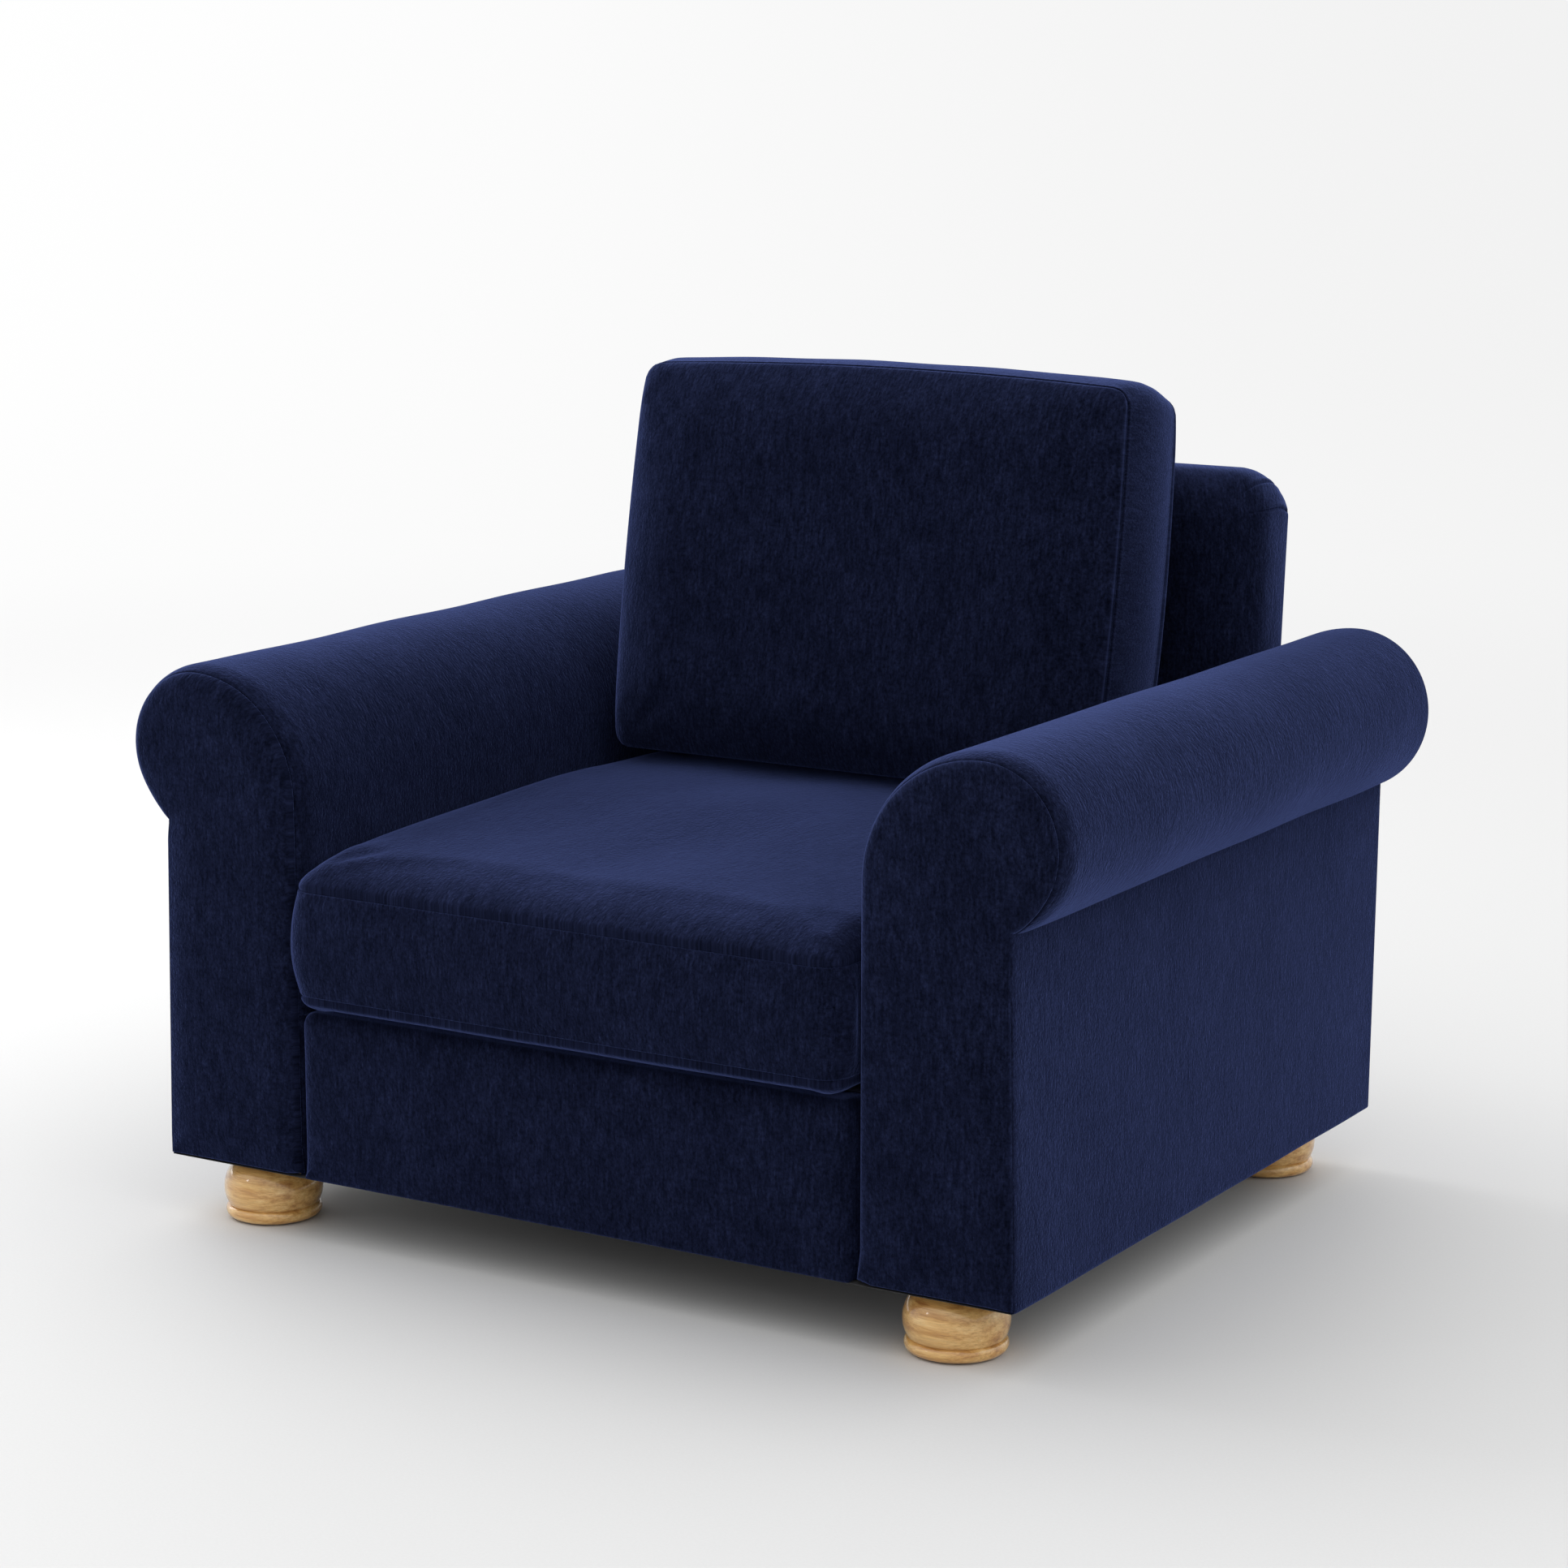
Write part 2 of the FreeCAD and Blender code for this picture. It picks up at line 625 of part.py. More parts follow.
def make_back_rest():
    make_back_frame()
    half, top = "Sizes.rest_half - Sizes.skin", "Sizes.rest_top - Sizes.skin"
    corner = "Sizes.rest_corner - Sizes.skin"
    low = "Sizes.deck_pad_top + 2 * Sizes.deck_cloth"
    corners, arcs = arch(half, low, top, corner)
    node("back_rest_pad", leaning_slab("back_rest_pad", corners, f"{POST_FRONT} + Sizes.web_thick",
                                       "Sizes.rest_depth - Sizes.skin", arcs))
    filling = leaning_slab("filling", arch(half, "Sizes.rail_top", top, corner)[0], 0,
                           "Sizes.rest_depth - Sizes.skin", arcs)
    corners, arcs = arch("Sizes.rest_half", low, "Sizes.rest_top", "Sizes.rest_corner")
    shell = leaning_slab("shell", corners, INSIDE, "Sizes.rest_depth", arcs)
    node("back_rest_cover", cut("back_rest_cover", shell, filling))

    corners, arcs = arch("Sizes.rest_half", "Sizes.hem", "Sizes.rest_top", "Sizes.rest_corner")
    centre = leaning_slab("outside_back", corners, 0, INSIDE, arcs)
    corners, arcs = arm_view(0, "Sizes.hem")
    end = leaning_slab("arm_rear_end", corners, 0, INSIDE, arcs)
    pocket(end, outline(end, "XZ_Plane", rectangle(0, 0, "Sizes.rest_half + Sizes.fit", FAR)))
    doc.recompute()
    node("outside_back_cover", group("outside_back_cover", [centre, end, mirrored("other_end", end)]))


# ---------------------------------------------------------------- feet
def foot_places():
    return [(f"{side} * Sizes.foot_x", y) for y in ("Sizes.foot_front_y", "Sizes.foot_rear_y")
            for side in (1, -1)]


def turned(label, corners, arcs, x, y):
    """A solid turned about a vertical axis at x, y from its half section."""
    body = new_body(label)
    sketch = outline(body, "XZ_Plane", corners, arcs)
    turning = body.newObject("PartDesign::Revolution", "Turning")
    turning.Profile = sketch
    turning.ReferenceAxis = (sketch, ["V_Axis"])
    turning.Angle = 360
    body.setExpression("Placement.Base.x", x)
    body.setExpression("Placement.Base.y", y)
    return body


def make_feet():
    """Turned bun feet: a bead at the floor, a waist, a bulb, and a socket for the hanger bolt."""
    bead, waist, top = 44.5, 47.6, 30.0
    waist_z = 15.6
    bead_round, bulb_round = 7.4, 36
    hole, hole_low = "Sizes.bolt_radius + 0.1", 30
    section = [
        (0, "Sizes.glide"), (bead, "Sizes.glide"), (waist, waist_z), (top, "Sizes.hem"),
        (hole, "Sizes.hem"), (hole, hole_low), (0, hole_low),
    ]
    rounds = {1: bead_round, 2: bulb_round}
    names = ("foot_front_left", "foot_front_right", "foot_rear_left", "foot_rear_right")
    glides, bolts, nuts = [], [], []
    barrel, barrel_long, flange, flange_thick = 5.9, 10, 11, 1.5
    nut_low, nut_top = f"Sizes.seat_low - {barrel_long}", "Sizes.seat_low"
    nut_section = [
        (hole, nut_low), (barrel, nut_low), (barrel, nut_top), (flange, nut_top),
        (flange, f"{nut_top} + {flange_thick}"), (hole, f"{nut_top} + {flange_thick}"),
    ]
    for name, (x, y) in zip(names, foot_places()):
        node(name, turned(name, section, rounds, x, y))
        glides.append(cylinder("Sizes.glide_radius", "Sizes.glide", (x, y, 0)))
        bolt_low = f"{hole_low} + Sizes.cloth"
        bolts.append(cylinder("Sizes.bolt_radius", "Sizes.bolt_length", (x, y, bolt_low)))
        nuts.append(turned("tee_nut", nut_section, None, x, y))
    node("foot_glides", group("foot_glides", glides))
    node("foot_bolts", group("foot_bolts", bolts))
    node("foot_tee_nuts", group("foot_tee_nuts", nuts))


# ---------------------------------------------------------------- cushions
def bulged(chord, bulge):
    """Radius of an arc over this chord that stands out by bulge."""
    return f"(({chord})^2 / 4 + ({bulge})^2) / (2 * ({bulge}))"


def seat_block(label, inset):
    front, back = f"Sizes.seat_front + {inset}", f"Sizes.seat_back - {inset}"
    low = f"Sizes.seat_bottom + {inset}"
    front_top, back_top = f"Sizes.seat_front_top - {inset}", f"Sizes.seat_back_top - {inset}"
    corners = [(front, low), (back, low), (back, back_top), (front, front_top)]
    arcs = {
        2: bulged(f"{back} - ({front})", "Sizes.seat_crown"),
        3: bulged(f"{front_top} - ({low})", "Sizes.seat_bulge"),
    }
    return along_x(label, corners, half=f"Sizes.seat_half - {inset}", arcs=arcs)


def lean_back(shape_object, x=0, across=0, up=0):
    """Puts a piece made upright at the cushion's lower front edge, leaning with the cushion."""
    turn = FreeCAD.Rotation(Vector(1, 0, 0), -size("cushion_lean"))
    foot = FreeCAD.Placement(Vector(0, size("cushion_y"), size("cushion_z")), turn)
    shape_object.Placement = foot.multiply(FreeCAD.Placement(Vector(x, across, up), FreeCAD.Rotation()))
    return shape_object


def back_block(label, inset):
    far, high = f"Sizes.cushion_thick - {inset}", f"Sizes.cushion_height - {inset}"
    corners = [(inset, inset), (far, inset), (far, high), (inset, high)]
    tall, thick = f"{high} - {inset}", f"{far} - {inset}"
    arcs = {
        1: bulged(tall, "Sizes.cushion_rear_bulge"),
        2: bulged(thick, "Sizes.cushion_top_bulge"),
        3: bulged(tall, "Sizes.cushion_front_bulge"),
    }
    return lean_back(along_x(label, corners, half=f"Sizes.cushion_half - {inset}", arcs=arcs))


def make_cushions():
    seat_core = seat_block("seat_cushion_core", INSIDE)
    node("seat_cushion_core", seat_core)
    node("seat_cushion_cover", cut("seat_cushion_cover", seat_block("seat_outside", 0), seat_core))
    back_core = back_block("back_cushion_core", INSIDE)
    node("back_cushion_core", back_core)
    node("back_cushion_cover", cut("back_cushion_cover", back_block("back_outside", 0), back_core))


def make_zips():
    """A closed zip across the rear boxing of the seat cushion and the lower boxing of the other."""
    tape_low = 315
    slider_low = f"{tape_low} + (Sizes.tape_width - Sizes.slider_wide) / 2"
    slider_y = "Sizes.seat_back + Sizes.tape_thick + Sizes.slider_gap"
    node("seat_cushion_zip", box("seat_cushion_zip",
                                 ("-Sizes.zip_half", "Sizes.seat_back", tape_low),
                                 ("Sizes.zip_half", "Sizes.seat_back + Sizes.tape_thick",
                                  f"{tape_low} + Sizes.tape_width")))
    node("seat_zip_slider", box("seat_zip_slider",
                                ("Sizes.zip_half - Sizes.slider_long", slider_y, slider_low),
                                ("Sizes.zip_half", f"{slider_y} + Sizes.slider_thick",
                                 f"{slider_low} + Sizes.slider_wide")))
    tape = doc.addObject("Part::Box", "back_cushion_zip")
    tape.setExpression("Length", "2 * Sizes.zip_half")
    tape.setExpression("Width", "Sizes.tape_width")
    tape.setExpression("Height", "Sizes.tape_thick")
    across = (size("cushion_thick") - size("tape_width")) / 2
    node("back_cushion_zip", lean_back(tape, -size("zip_half"), across, -size("tape_thick")))
    slider = doc.addObject("Part::Box", "back_zip_slider")
    slider.setExpression("Length", "Sizes.slider_long")
    slider.setExpression("Width", "Sizes.slider_wide")
    slider.setExpression("Height", "Sizes.slider_thick")
    across = (size("cushion_thick") - size("slider_wide")) / 2
    below = -size("tape_thick") - size("slider_gap") - size("slider_thick")
    node("back_zip_slider", lean_back(slider, size("zip_half") - size("slider_long"), across, below))


# ---------------------------------------------------------------- build, check and write
def check_everything():
    for item in doc.Objects:
        if "Invalid" in item.State or "Error" in item.State:
            raise SystemExit(f"{item.Label} failed: {item.State}")
    for label, item in nodes.items():
        if item.Shape.isNull() or not item.Shape.isValid() or not item.Shape.Solids:
            raise SystemExit(f"{label} has no valid solid")
        print(f"{label}: {len(item.Shape.Solids)} solid(s), {item.Shape.Volume / 1000:.1f} cm3")


def write_parts():
    os.makedirs("parts", exist_ok=True)
    for label, item in nodes.items():
        item.Shape.exportStep(f"parts/{label}.step")


make_arm_frame()
make_arm_padding()
make_arm_covers()
make_seat_frame()
make_springs()
make_seat_upholstery()
make_back_rest()
make_feet()
make_cushions()
make_zips()
doc.recompute()
check_everything()
write_parts()
print(len(nodes), "nodes")
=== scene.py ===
import json
import math

import bmesh
import bpy
import numpy as np
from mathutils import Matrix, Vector


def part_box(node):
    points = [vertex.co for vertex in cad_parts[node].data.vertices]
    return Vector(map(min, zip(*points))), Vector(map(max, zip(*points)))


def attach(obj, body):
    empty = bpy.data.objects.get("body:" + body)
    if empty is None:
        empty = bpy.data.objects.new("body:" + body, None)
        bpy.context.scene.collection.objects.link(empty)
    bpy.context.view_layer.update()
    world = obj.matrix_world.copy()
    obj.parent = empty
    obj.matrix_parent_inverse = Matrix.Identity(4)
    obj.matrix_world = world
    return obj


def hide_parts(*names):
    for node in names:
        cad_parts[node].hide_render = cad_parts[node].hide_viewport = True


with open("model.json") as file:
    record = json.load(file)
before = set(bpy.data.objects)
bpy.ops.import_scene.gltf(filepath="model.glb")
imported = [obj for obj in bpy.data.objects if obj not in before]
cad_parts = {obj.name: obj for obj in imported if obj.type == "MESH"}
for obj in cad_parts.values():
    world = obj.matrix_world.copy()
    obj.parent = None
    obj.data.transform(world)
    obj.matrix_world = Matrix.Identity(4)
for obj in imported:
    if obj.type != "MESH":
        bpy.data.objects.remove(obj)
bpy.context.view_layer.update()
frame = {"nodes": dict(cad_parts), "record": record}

# ---------------------------------------------------------------- sizes, in metres
MM = 0.001
ARM_LOW, ARM_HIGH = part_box("left_arm_front_cover")
REST_LOW, REST_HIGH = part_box("back_rest_cover")
RAIL_LOW, RAIL_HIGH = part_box("front_rail_cover")
SEAT_LOW, SEAT_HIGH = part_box("seat_cushion_cover")
DUST_LOW, DUST_HIGH = np.array(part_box("dust_cover"))
HEM = ARM_LOW[2]
FRONT = ARM_LOW[1]
ARM_INNER = ARM_LOW[0]
ROLL_TOP = ARM_HIGH[2]
ROLL_RADIUS = 87.3 * MM
INNER_RADIUS = 132.5 * MM
ROLL_X = ARM_INNER + INNER_RADIUS
ROLL_CENTRE = (ROLL_X, ROLL_TOP - ROLL_RADIUS)
SPRING = ROLL_TOP - INNER_RADIUS
ARM_NECK = 500 * MM
ARM_HEM = 508 * MM
WRAP_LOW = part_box("left_arm_cover")[0][2]
DECK_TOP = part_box("deck_cloth")[1][2]
REAR = DUST_HIGH[1] + 2 * MM
RAKE = 0.075                    # how far the rear plane leans back for each metre up
REST_HALF = REST_HIGH[0]
REST_TOP = REST_HIGH[2]
REST_DEPTH = 101.3 * MM
REST_CORNER = 50 * MM
SIDES = (("left", 1), ("right", -1))
FINE = np.array([0.0, 0.35, 0.8, 1.4, 2.2, 3.4, 5.2, 8.0]) * MM   # rows of points beside a seam
METRE_BANDS = 0.31              # the Scale at which a wave texture's bands are a metre apart


def rear_y(height):
    """y of the raked rear plane at this height."""
    return REAR + RAKE * (height - HEM)


# ---------------------------------------------------------------- materials
def new_material(name, roughness, metallic=0.0):
    material = bpy.data.materials.new(name)
    material.use_nodes = True
    shader = material.node_tree.nodes["Principled BSDF"]
    shader.inputs["Roughness"].default_value = roughness
    shader.inputs["Metallic"].default_value = metallic
    return material, material.node_tree, shader


def add(tree, kind, **values):
    """A node with its sockets set by name, or its own settings where it has no such socket."""
    new = tree.nodes.new(kind)
    for key, given in values.items():
        if key in new.inputs:
            new.inputs[key].default_value = given
        else:
            setattr(new, key, given)
    return new


def mapped(tree, source, scale, rotation=(0, 0, 0)):
    """Texture coordinates of one kind, stretched by scale."""
    coordinates = tree.nodes.new("ShaderNodeTexCoord")
    mapping = add(tree, "ShaderNodeMapping", Scale=scale, Rotation=rotation)
    tree.links.new(coordinates.outputs[source], mapping.inputs["Vector"])
    return mapping.outputs["Vector"]


def noise(tree, vector, scale, detail, rough):
    texture = add(tree, "ShaderNodeTexNoise", Scale=scale, Detail=detail, Roughness=rough)
    tree.links.new(vector, texture.inputs["Vector"])
    return texture.outputs["Fac"]


def ramp(tree, factor, stops):
    """A colour ramp: stops are (position, colour)."""
    node = tree.nodes.new("ShaderNodeValToRGB")
    elements = node.color_ramp.elements
    while len(elements) < len(stops):
        elements.new(0.5)
    for element, (position, colour) in zip(elements, stops):
        element.position = position
        element.color = (*colour, 1)
    tree.links.new(factor, node.inputs["Fac"])
    return node.outputs["Color"]


def blend_colours(tree, first, second, factor, how):
    """Two colours mixed; each, and the factor, may be a value or another node's output."""
    node = add(tree, "ShaderNodeMix", data_type="RGBA", blend_type=how)
    for socket, given in ((node.inputs[6], first), (node.inputs[7], second), (node.inputs[0], factor)):
        if hasattr(given, "default_value"):
            tree.links.new(given, socket)
        else:
            socket.default_value = given
    return node.outputs[2]


def bump(tree, shader, height, strength, distance, under=None):
    """Relief from a height pattern, laid over the bump node under it if there is one."""
    node = add(tree, "ShaderNodeBump", Strength=strength, Distance=distance)
    tree.links.new(height, node.inputs["Height"])
    if under:
        tree.links.new(under.outputs["Normal"], node.inputs["Normal"])
    tree.links.new(node.outputs["Normal"], shader.inputs["Normal"])
    return node


def combine(tree, operation, first, second):
    node = add(tree, "ShaderNodeMath", operation=operation)
    tree.links.new(first, node.inputs[0])
    tree.links.new(second, node.inputs[1])
    return node.outputs[0]


def reach_along(tree, vector, direction):
    """How far a vector reaches along this direction."""
    node = add(tree, "ShaderNodeVectorMath", operation="DOT_PRODUCT")
    node.inputs[1].default_value = direction
    tree.links.new(vector, node.inputs[0])
    return node.outputs["Value"]


def smooth_range(tree, value, low, high, start=0.0, end=1.0):
    """Eases from start to end as value goes from low to high."""
    node = add(tree, "ShaderNodeMapRange", interpolation_type="SMOOTHSTEP",
               **{"From Min": low, "From Max": high, "To Min": start, "To Max": end})
    tree.links.new(value, node.inputs["Value"])
    return node.outputs["Result"]


def velvet_material(name, base, sheen_tint):
    """Short-pile velvet: fine grain, a brushed nap in small streaks and clouds, and a soft rim."""
    material, tree, shader = new_material(name, 0.9)
    grain = noise(tree, mapped(tree, "UV", (1, 0.7, 1)), 330, 3, 0.7)
    hairs = noise(tree, mapped(tree, "UV", (1, 0.16, 1)), 300, 3, 0.65)
    nap = noise(tree, mapped(tree, "UV", (1, 0.42, 1)), 120, 4, 0.62)
    clouds = noise(tree, mapped(tree, "UV", (1, 0.6, 1)), 19, 3, 0.6)
    colour = (*base, 1)
    tones = ((clouds, 0.78, 1.25), (nap, 0.56, 1.5), (hairs, 0.62, 1.42), (grain, 0.34, 1.7))
    for pattern, low, high in tones:
        tone = ramp(tree, pattern, [(0.28, (low,) * 3), (0.72, (high,) * 3)])
        colour = blend_colours(tree, colour, tone, 1.0, "MULTIPLY")
    tree.links.new(colour, shader.inputs["Base Color"])
    shader.inputs["Specular IOR Level"].default_value = 0.0
    shader.inputs["Sheen Weight"].default_value = 1.0
    shader.inputs["Sheen Roughness"].default_value = 0.37
    shader.inputs["Sheen Tint"].default_value = (*sheen_tint, 1)
    layers = ((clouds, 0.5, 0.0016), (nap, 0.6, 0.0011), (hairs, 0.6, 0.0007), (grain, 0.8, 0.0013))
    under = None
    for height, strength, distance in layers:
        under = bump(tree, shader, height, strength, distance, under)
    return material


def oak_material():
    """Pale lacquered oak with the grain lying level through each foot."""
    material, tree, shader = new_material("oak_lacquered", 0.3)
    tilt = (0.05, 0.03, 0.12)
    broad = noise(tree, mapped(tree, "Object", (3.2, 21, 42), tilt), 3.0, 6, 0.62)
    lines = noise(tree, mapped(tree, "Object", (14, 120, 330), tilt), 2.6, 5, 0.7)
    base = ramp(tree, broad, [(0.28, (0.36, 0.145, 0.034)), (0.42, (0.62, 0.33, 0.095)),
                              (0.56, (0.78, 0.48, 0.17)), (0.74, (0.90, 0.65, 0.30))])
    fine = ramp(tree, lines, [(0.34, (0.66, 0.56, 0.46)), (0.56, (1.0, 1.0, 1.0))])
    tree.links.new(blend_colours(tree, base, fine, 0.75, "MULTIPLY"), shader.inputs["Base Color"])
    rough = add(tree, "ShaderNodeMapRange", **{"To Min": 0.22, "To Max": 0.4})
    tree.links.new(lines, rough.inputs["Value"])
    tree.links.new(rough.outputs["Result"], shader.inputs["Roughness"])
    shader.inputs["Coat Weight"].default_value = 0.85
    shader.inputs["Coat Roughness"].default_value = 0.05
    bump(tree, shader, lines, 0.06, 0.0004)
    return material


def timber_material():
    """Plain sawn softwood for the frame, which shows only where the covers are off."""
    material, tree, shader = new_material("frame_timber", 0.62)
    grain = noise(tree, mapped(tree, "Object", (7, 7, 60)), 4.0, 6, 0.6)
    colour = ramp(tree, grain, [(0.3, (0.46, 0.31, 0.17)), (0.7, (0.76, 0.60, 0.40))])
    tree.links.new(colour, shader.inputs["Base Color"])
    bump(tree, shader, grain, 0.15, 0.0006)
    return material


def speckled_material(name, low, high, scale, roughness, metallic=0.0, strength=0.15, depth=0.0004):
    """A plain material with fine tone and surface variation: foam, cloth, nylon or metal."""
    material, tree, shader = new_material(name, roughness, metallic)
    grains = noise(tree, mapped(tree, "Object", (1, 1, 1)), scale, 4, 0.6)
    tree.links.new(ramp(tree, grains, [(0.3, low), (0.7, high)]), shader.inputs["Base Color"])
    bump(tree, shader, grains, strength, depth)
    return material


def woven_material(name, low, high, pitch):
    """Plain-weave cloth: two crossed thread waves over a little unevenness."""
    material, tree, shader = new_material(name, 0.9)
    where = mapped(tree, "Object", (1, 1, 1))
    waves = []
    for direction in ("X", "Y"):
        wave = add(tree, "ShaderNodeTexWave", bands_direction=direction, Distortion=0.4,
                   Scale=METRE_BANDS / pitch)
        tree.links.new(where, wave.inputs["Vector"])
        waves.append(wave.outputs["Fac"])
    threads = combine(tree, "MULTIPLY", *waves)
    uneven = combine(tree, "ADD", threads, noise(tree, where, 55, 4, 0.6))
    tree.links.new(ramp(tree, uneven, [(0.3, low), (1.0, high)]), shader.inputs["Base Color"])
    bump(tree, shader, threads, 0.3, 0.0004)
    return material


MATERIALS = {
    "velvet": velvet_material("velvet_navy", (0.0055, 0.0074, 0.0205), (0.125, 0.172, 0.46)),
    "oak": oak_material(),
    "timber": timber_material(),
    "foam": speckled_material("foam", (0.66, 0.60, 0.40), (0.84, 0.79, 0.60), 420, 0.95, depth=0.0008),
    "nylon": speckled_material("nylon", (0.02, 0.02, 0.022), (0.05, 0.05, 0.055), 900, 0.5),
    "zinc_steel": speckled_material("zinc_steel", (0.45, 0.46, 0.49), (0.68, 0.69, 0.72), 300, 0.35, 1.0),
    "spring_steel": speckled_material("spring_steel", (0.20, 0.21, 0.23), (0.36, 0.37, 0.40), 260, 0.4, 1.0),
    "webbing": woven_material("webbing", (0.012, 0.012, 0.014), (0.06, 0.06, 0.065), 1.6 * MM),
    "deck_cloth": woven_material("deck_cloth", (0.006, 0.008, 0.022), (0.02, 0.026, 0.07), 0.9 * MM),
    "dust_cloth": woven_material("dust_cloth", (0.008, 0.008, 0.009), (0.035, 0.035, 0.038), 0.8 * MM),
    "zip_tape": woven_material("zip_tape", (0.005, 0.007, 0.02), (0.018, 0.024, 0.06), 0.7 * MM),
    "zip_metal": speckled_material("zip_metal", (0.05, 0.055, 0.07), (0.12, 0.13, 0.16), 500, 0.35, 0.9),
}


# ---------------------------------------------------------------- mesh helpers
def new_object(name, data):
    """An object with this data, linked into the scene."""
    obj = bpy.data.objects.new(name, data)
    bpy.context.scene.collection.objects.link(obj)
    return obj


def new_mesh(name, vertices, faces):
    mesh = bpy.data.meshes.new(name)
    mesh.from_pydata([tuple(v) for v in vertices], [], [tuple(f) for f in faces])
    return mesh


def face_outwards(mesh):
    """Turns every face of a closed mesh outwards."""
    shell = bmesh.new()
    shell.from_mesh(mesh)
    bmesh.ops.recalc_face_normals(shell, faces=shell.faces)
    shell.to_mesh(mesh)
    shell.free()


def fill_ends(obj):
    """Cuts the many-sided end faces into triangles."""
    shell = bmesh.new()
    shell.from_mesh(obj.data)
    wide = [face for face in shell.faces if len(face.verts) > 4]
    bmesh.ops.triangulate(shell, faces=wide)
    shell.to_mesh(obj.data)
    shell.free()


def piece(name, vertices, faces, slot, body, replaces=(), uvs=None):
    """A finished mesh object, riding on its body. uvs gives one coordinate for each vertex."""
    mesh = new_mesh(name, vertices, faces)
    mesh.validate()
    obj = new_object(name, mesh)
    if uvs is not None:
        layer = mesh.uv_layers.new(name="UVMap")
        corners = np.empty(len(mesh.loops), dtype=np.int32)
        mesh.loops.foreach_get("vertex_index", corners)
        layer.data.foreach_set("uv", np.asarray(uvs, dtype=np.float32)[corners].ravel())
    face_outwards(mesh)
    mesh.polygons.foreach_set("use_smooth", [True] * len(mesh.polygons))
    mesh.materials.append(MATERIALS[slot])
    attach(obj, body)
    if replaces:
        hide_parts(*replaces)
    return obj


def grid_faces(rows, columns, first=0, closed=False):
    """Quads over a grid of vertices, joined round in the second direction if closed."""
    last = columns if closed else columns - 1
    faces = []
    for i in range(rows - 1):
        for j in range(last):
            k = (j + 1) % columns
            faces.append((first + i * columns + j, first + i * columns + k,
                          first + (i + 1) * columns + k, first + (i + 1) * columns + j))
    return faces


def outward_normals(points, inside):
    """Unit normals over a grid of points, turned away from a point inside the piece."""
    normals = np.cross(np.gradient(points, axis=0), np.gradient(points, axis=1))
    normals /= np.maximum(np.linalg.norm(normals, axis=2, keepdims=True), 1e-12)
    away = np.sum(normals * (points - np.array(inside)), axis=2)
    return normals if np.median(away) > 0 else -normals


def quarter_round(distance, width):
    """A rounded edge's fall, from 1 at the edge to 0 where the rounding of this width ends."""
    return 1 - np.sqrt(1 - np.clip(1 - distance / width, 0, 1) ** 2)


def smoothed(values, reach):
    """The running mean over a closed loop of values, reaching this many to each side."""
    looped = np.concatenate([values[-reach:], values, values[:reach]])
    return np.convolve(looped, np.ones(2 * reach + 1) / (2 * reach + 1), mode="valid")


def ripple(points, size, seed):
    """Smooth random unevenness from -1 to 1 for an array of points; size is the length of a wave."""
    random = np.random.RandomState(seed)
    total = np.zeros(points.shape[:-1])
    waves = 9
    for _ in range(waves):
        direction = random.normal(size=3)
        direction /= np.linalg.norm(direction)
        length = size * random.uniform(0.7, 1.6)
        total += np.sin(points @ direction * 2 * math.pi / length + random.uniform(0, 2 * math.pi))
    return total / math.sqrt(waves)


def cloth_panel(name, points, uvs, thick, inside, replaces, slot="velvet", body="chair"):
    """A panel of cloth over a grid of points, with a back to it, on the side of the point inside."""
    normals = outward_normals(points, inside)
    rows, columns = points.shape[:2]
    count = rows * columns
    vertices = np.concatenate([points.reshape(-1, 3), (points - normals * thick).reshape(-1, 3)])
    faces = grid_faces(rows, columns) + [tuple(v + count for v in f) for f in grid_faces(rows, columns)]
    rim = ([i * columns for i in range(rows)] + [(rows - 1) * columns + j for j in range(1, columns)]
           + [i * columns + columns - 1 for i in range(rows - 2, -1, -1)] + list(range(columns - 2, 0, -1)))
    for here, after in zip(rim, rim[1:] + rim[:1]):
        faces.append((here, after, after + count, here + count))
    both = np.concatenate([uvs.reshape(-1, 2), uvs.reshape(-1, 2)])
    return piece(name, vertices, faces, slot, body, replaces, both)


def fine_places(start, end, count):
    """Places from start to end: count of them even, and more close together at both ends."""
    middle = np.linspace(start + FINE[-1], end - FINE[-1], count)
    return np.concatenate([start + FINE[:-1], middle, end - FINE[-2::-1]])


def fine_span(length, step):
    """Distances from 0 to length, close together at both ends."""
    return fine_places(0, length, max(2, int(length / step)))


# ---------------------------------------------------------------- outlines
def line(first, last, count):
    """Points from first on, evenly spaced, leaving out the last."""
    fractions = np.linspace(0, 1, count, endpoint=False)[:, None]
    return np.array(first) * (1 - fractions) + np.array(last) * fractions


def arc(centre, radius, start, end, count):
    """Points round an arc given in degrees, leaving out its end."""
    angles = np.radians(np.linspace(start, end, count, endpoint=False))
    return np.stack([centre[0] + radius * np.cos(angles), centre[1] + radius * np.sin(angles)], axis=1)


def neck_height(inset):
    """Where the roll meets the outside face, for an outline this far in."""
    return ROLL_CENTRE[1] - math.sqrt((ROLL_RADIUS - inset) ** 2 - (ARM_NECK - inset - ROLL_X) ** 2)


def towards_spine(outline, share):
    """Arm outline points (across, up) drawn this share of the way to the line up the arm's middle."""
    up = np.clip(outline[:, 1], HEM + 88 * MM, ROLL_TOP - 95 * MM)
    bend = np.clip((up - 380 * MM) / (120 * MM), 0, 1)
    middle = np.stack([(417 + 32 * bend ** 1.5) * MM, up], axis=1)
    return outline * (1 - share) + middle * share


def neck_angle(inset):
    """Where on the roll, in degrees, it meets the outside face."""
    return -math.degrees(math.acos((ARM_NECK - inset - ROLL_X) / (ROLL_RADIUS - inset)))


ARM_COUNTS = (72, 64, 52, 76, 36)   # outline points: outside, roll, inner arc, inside, bottom


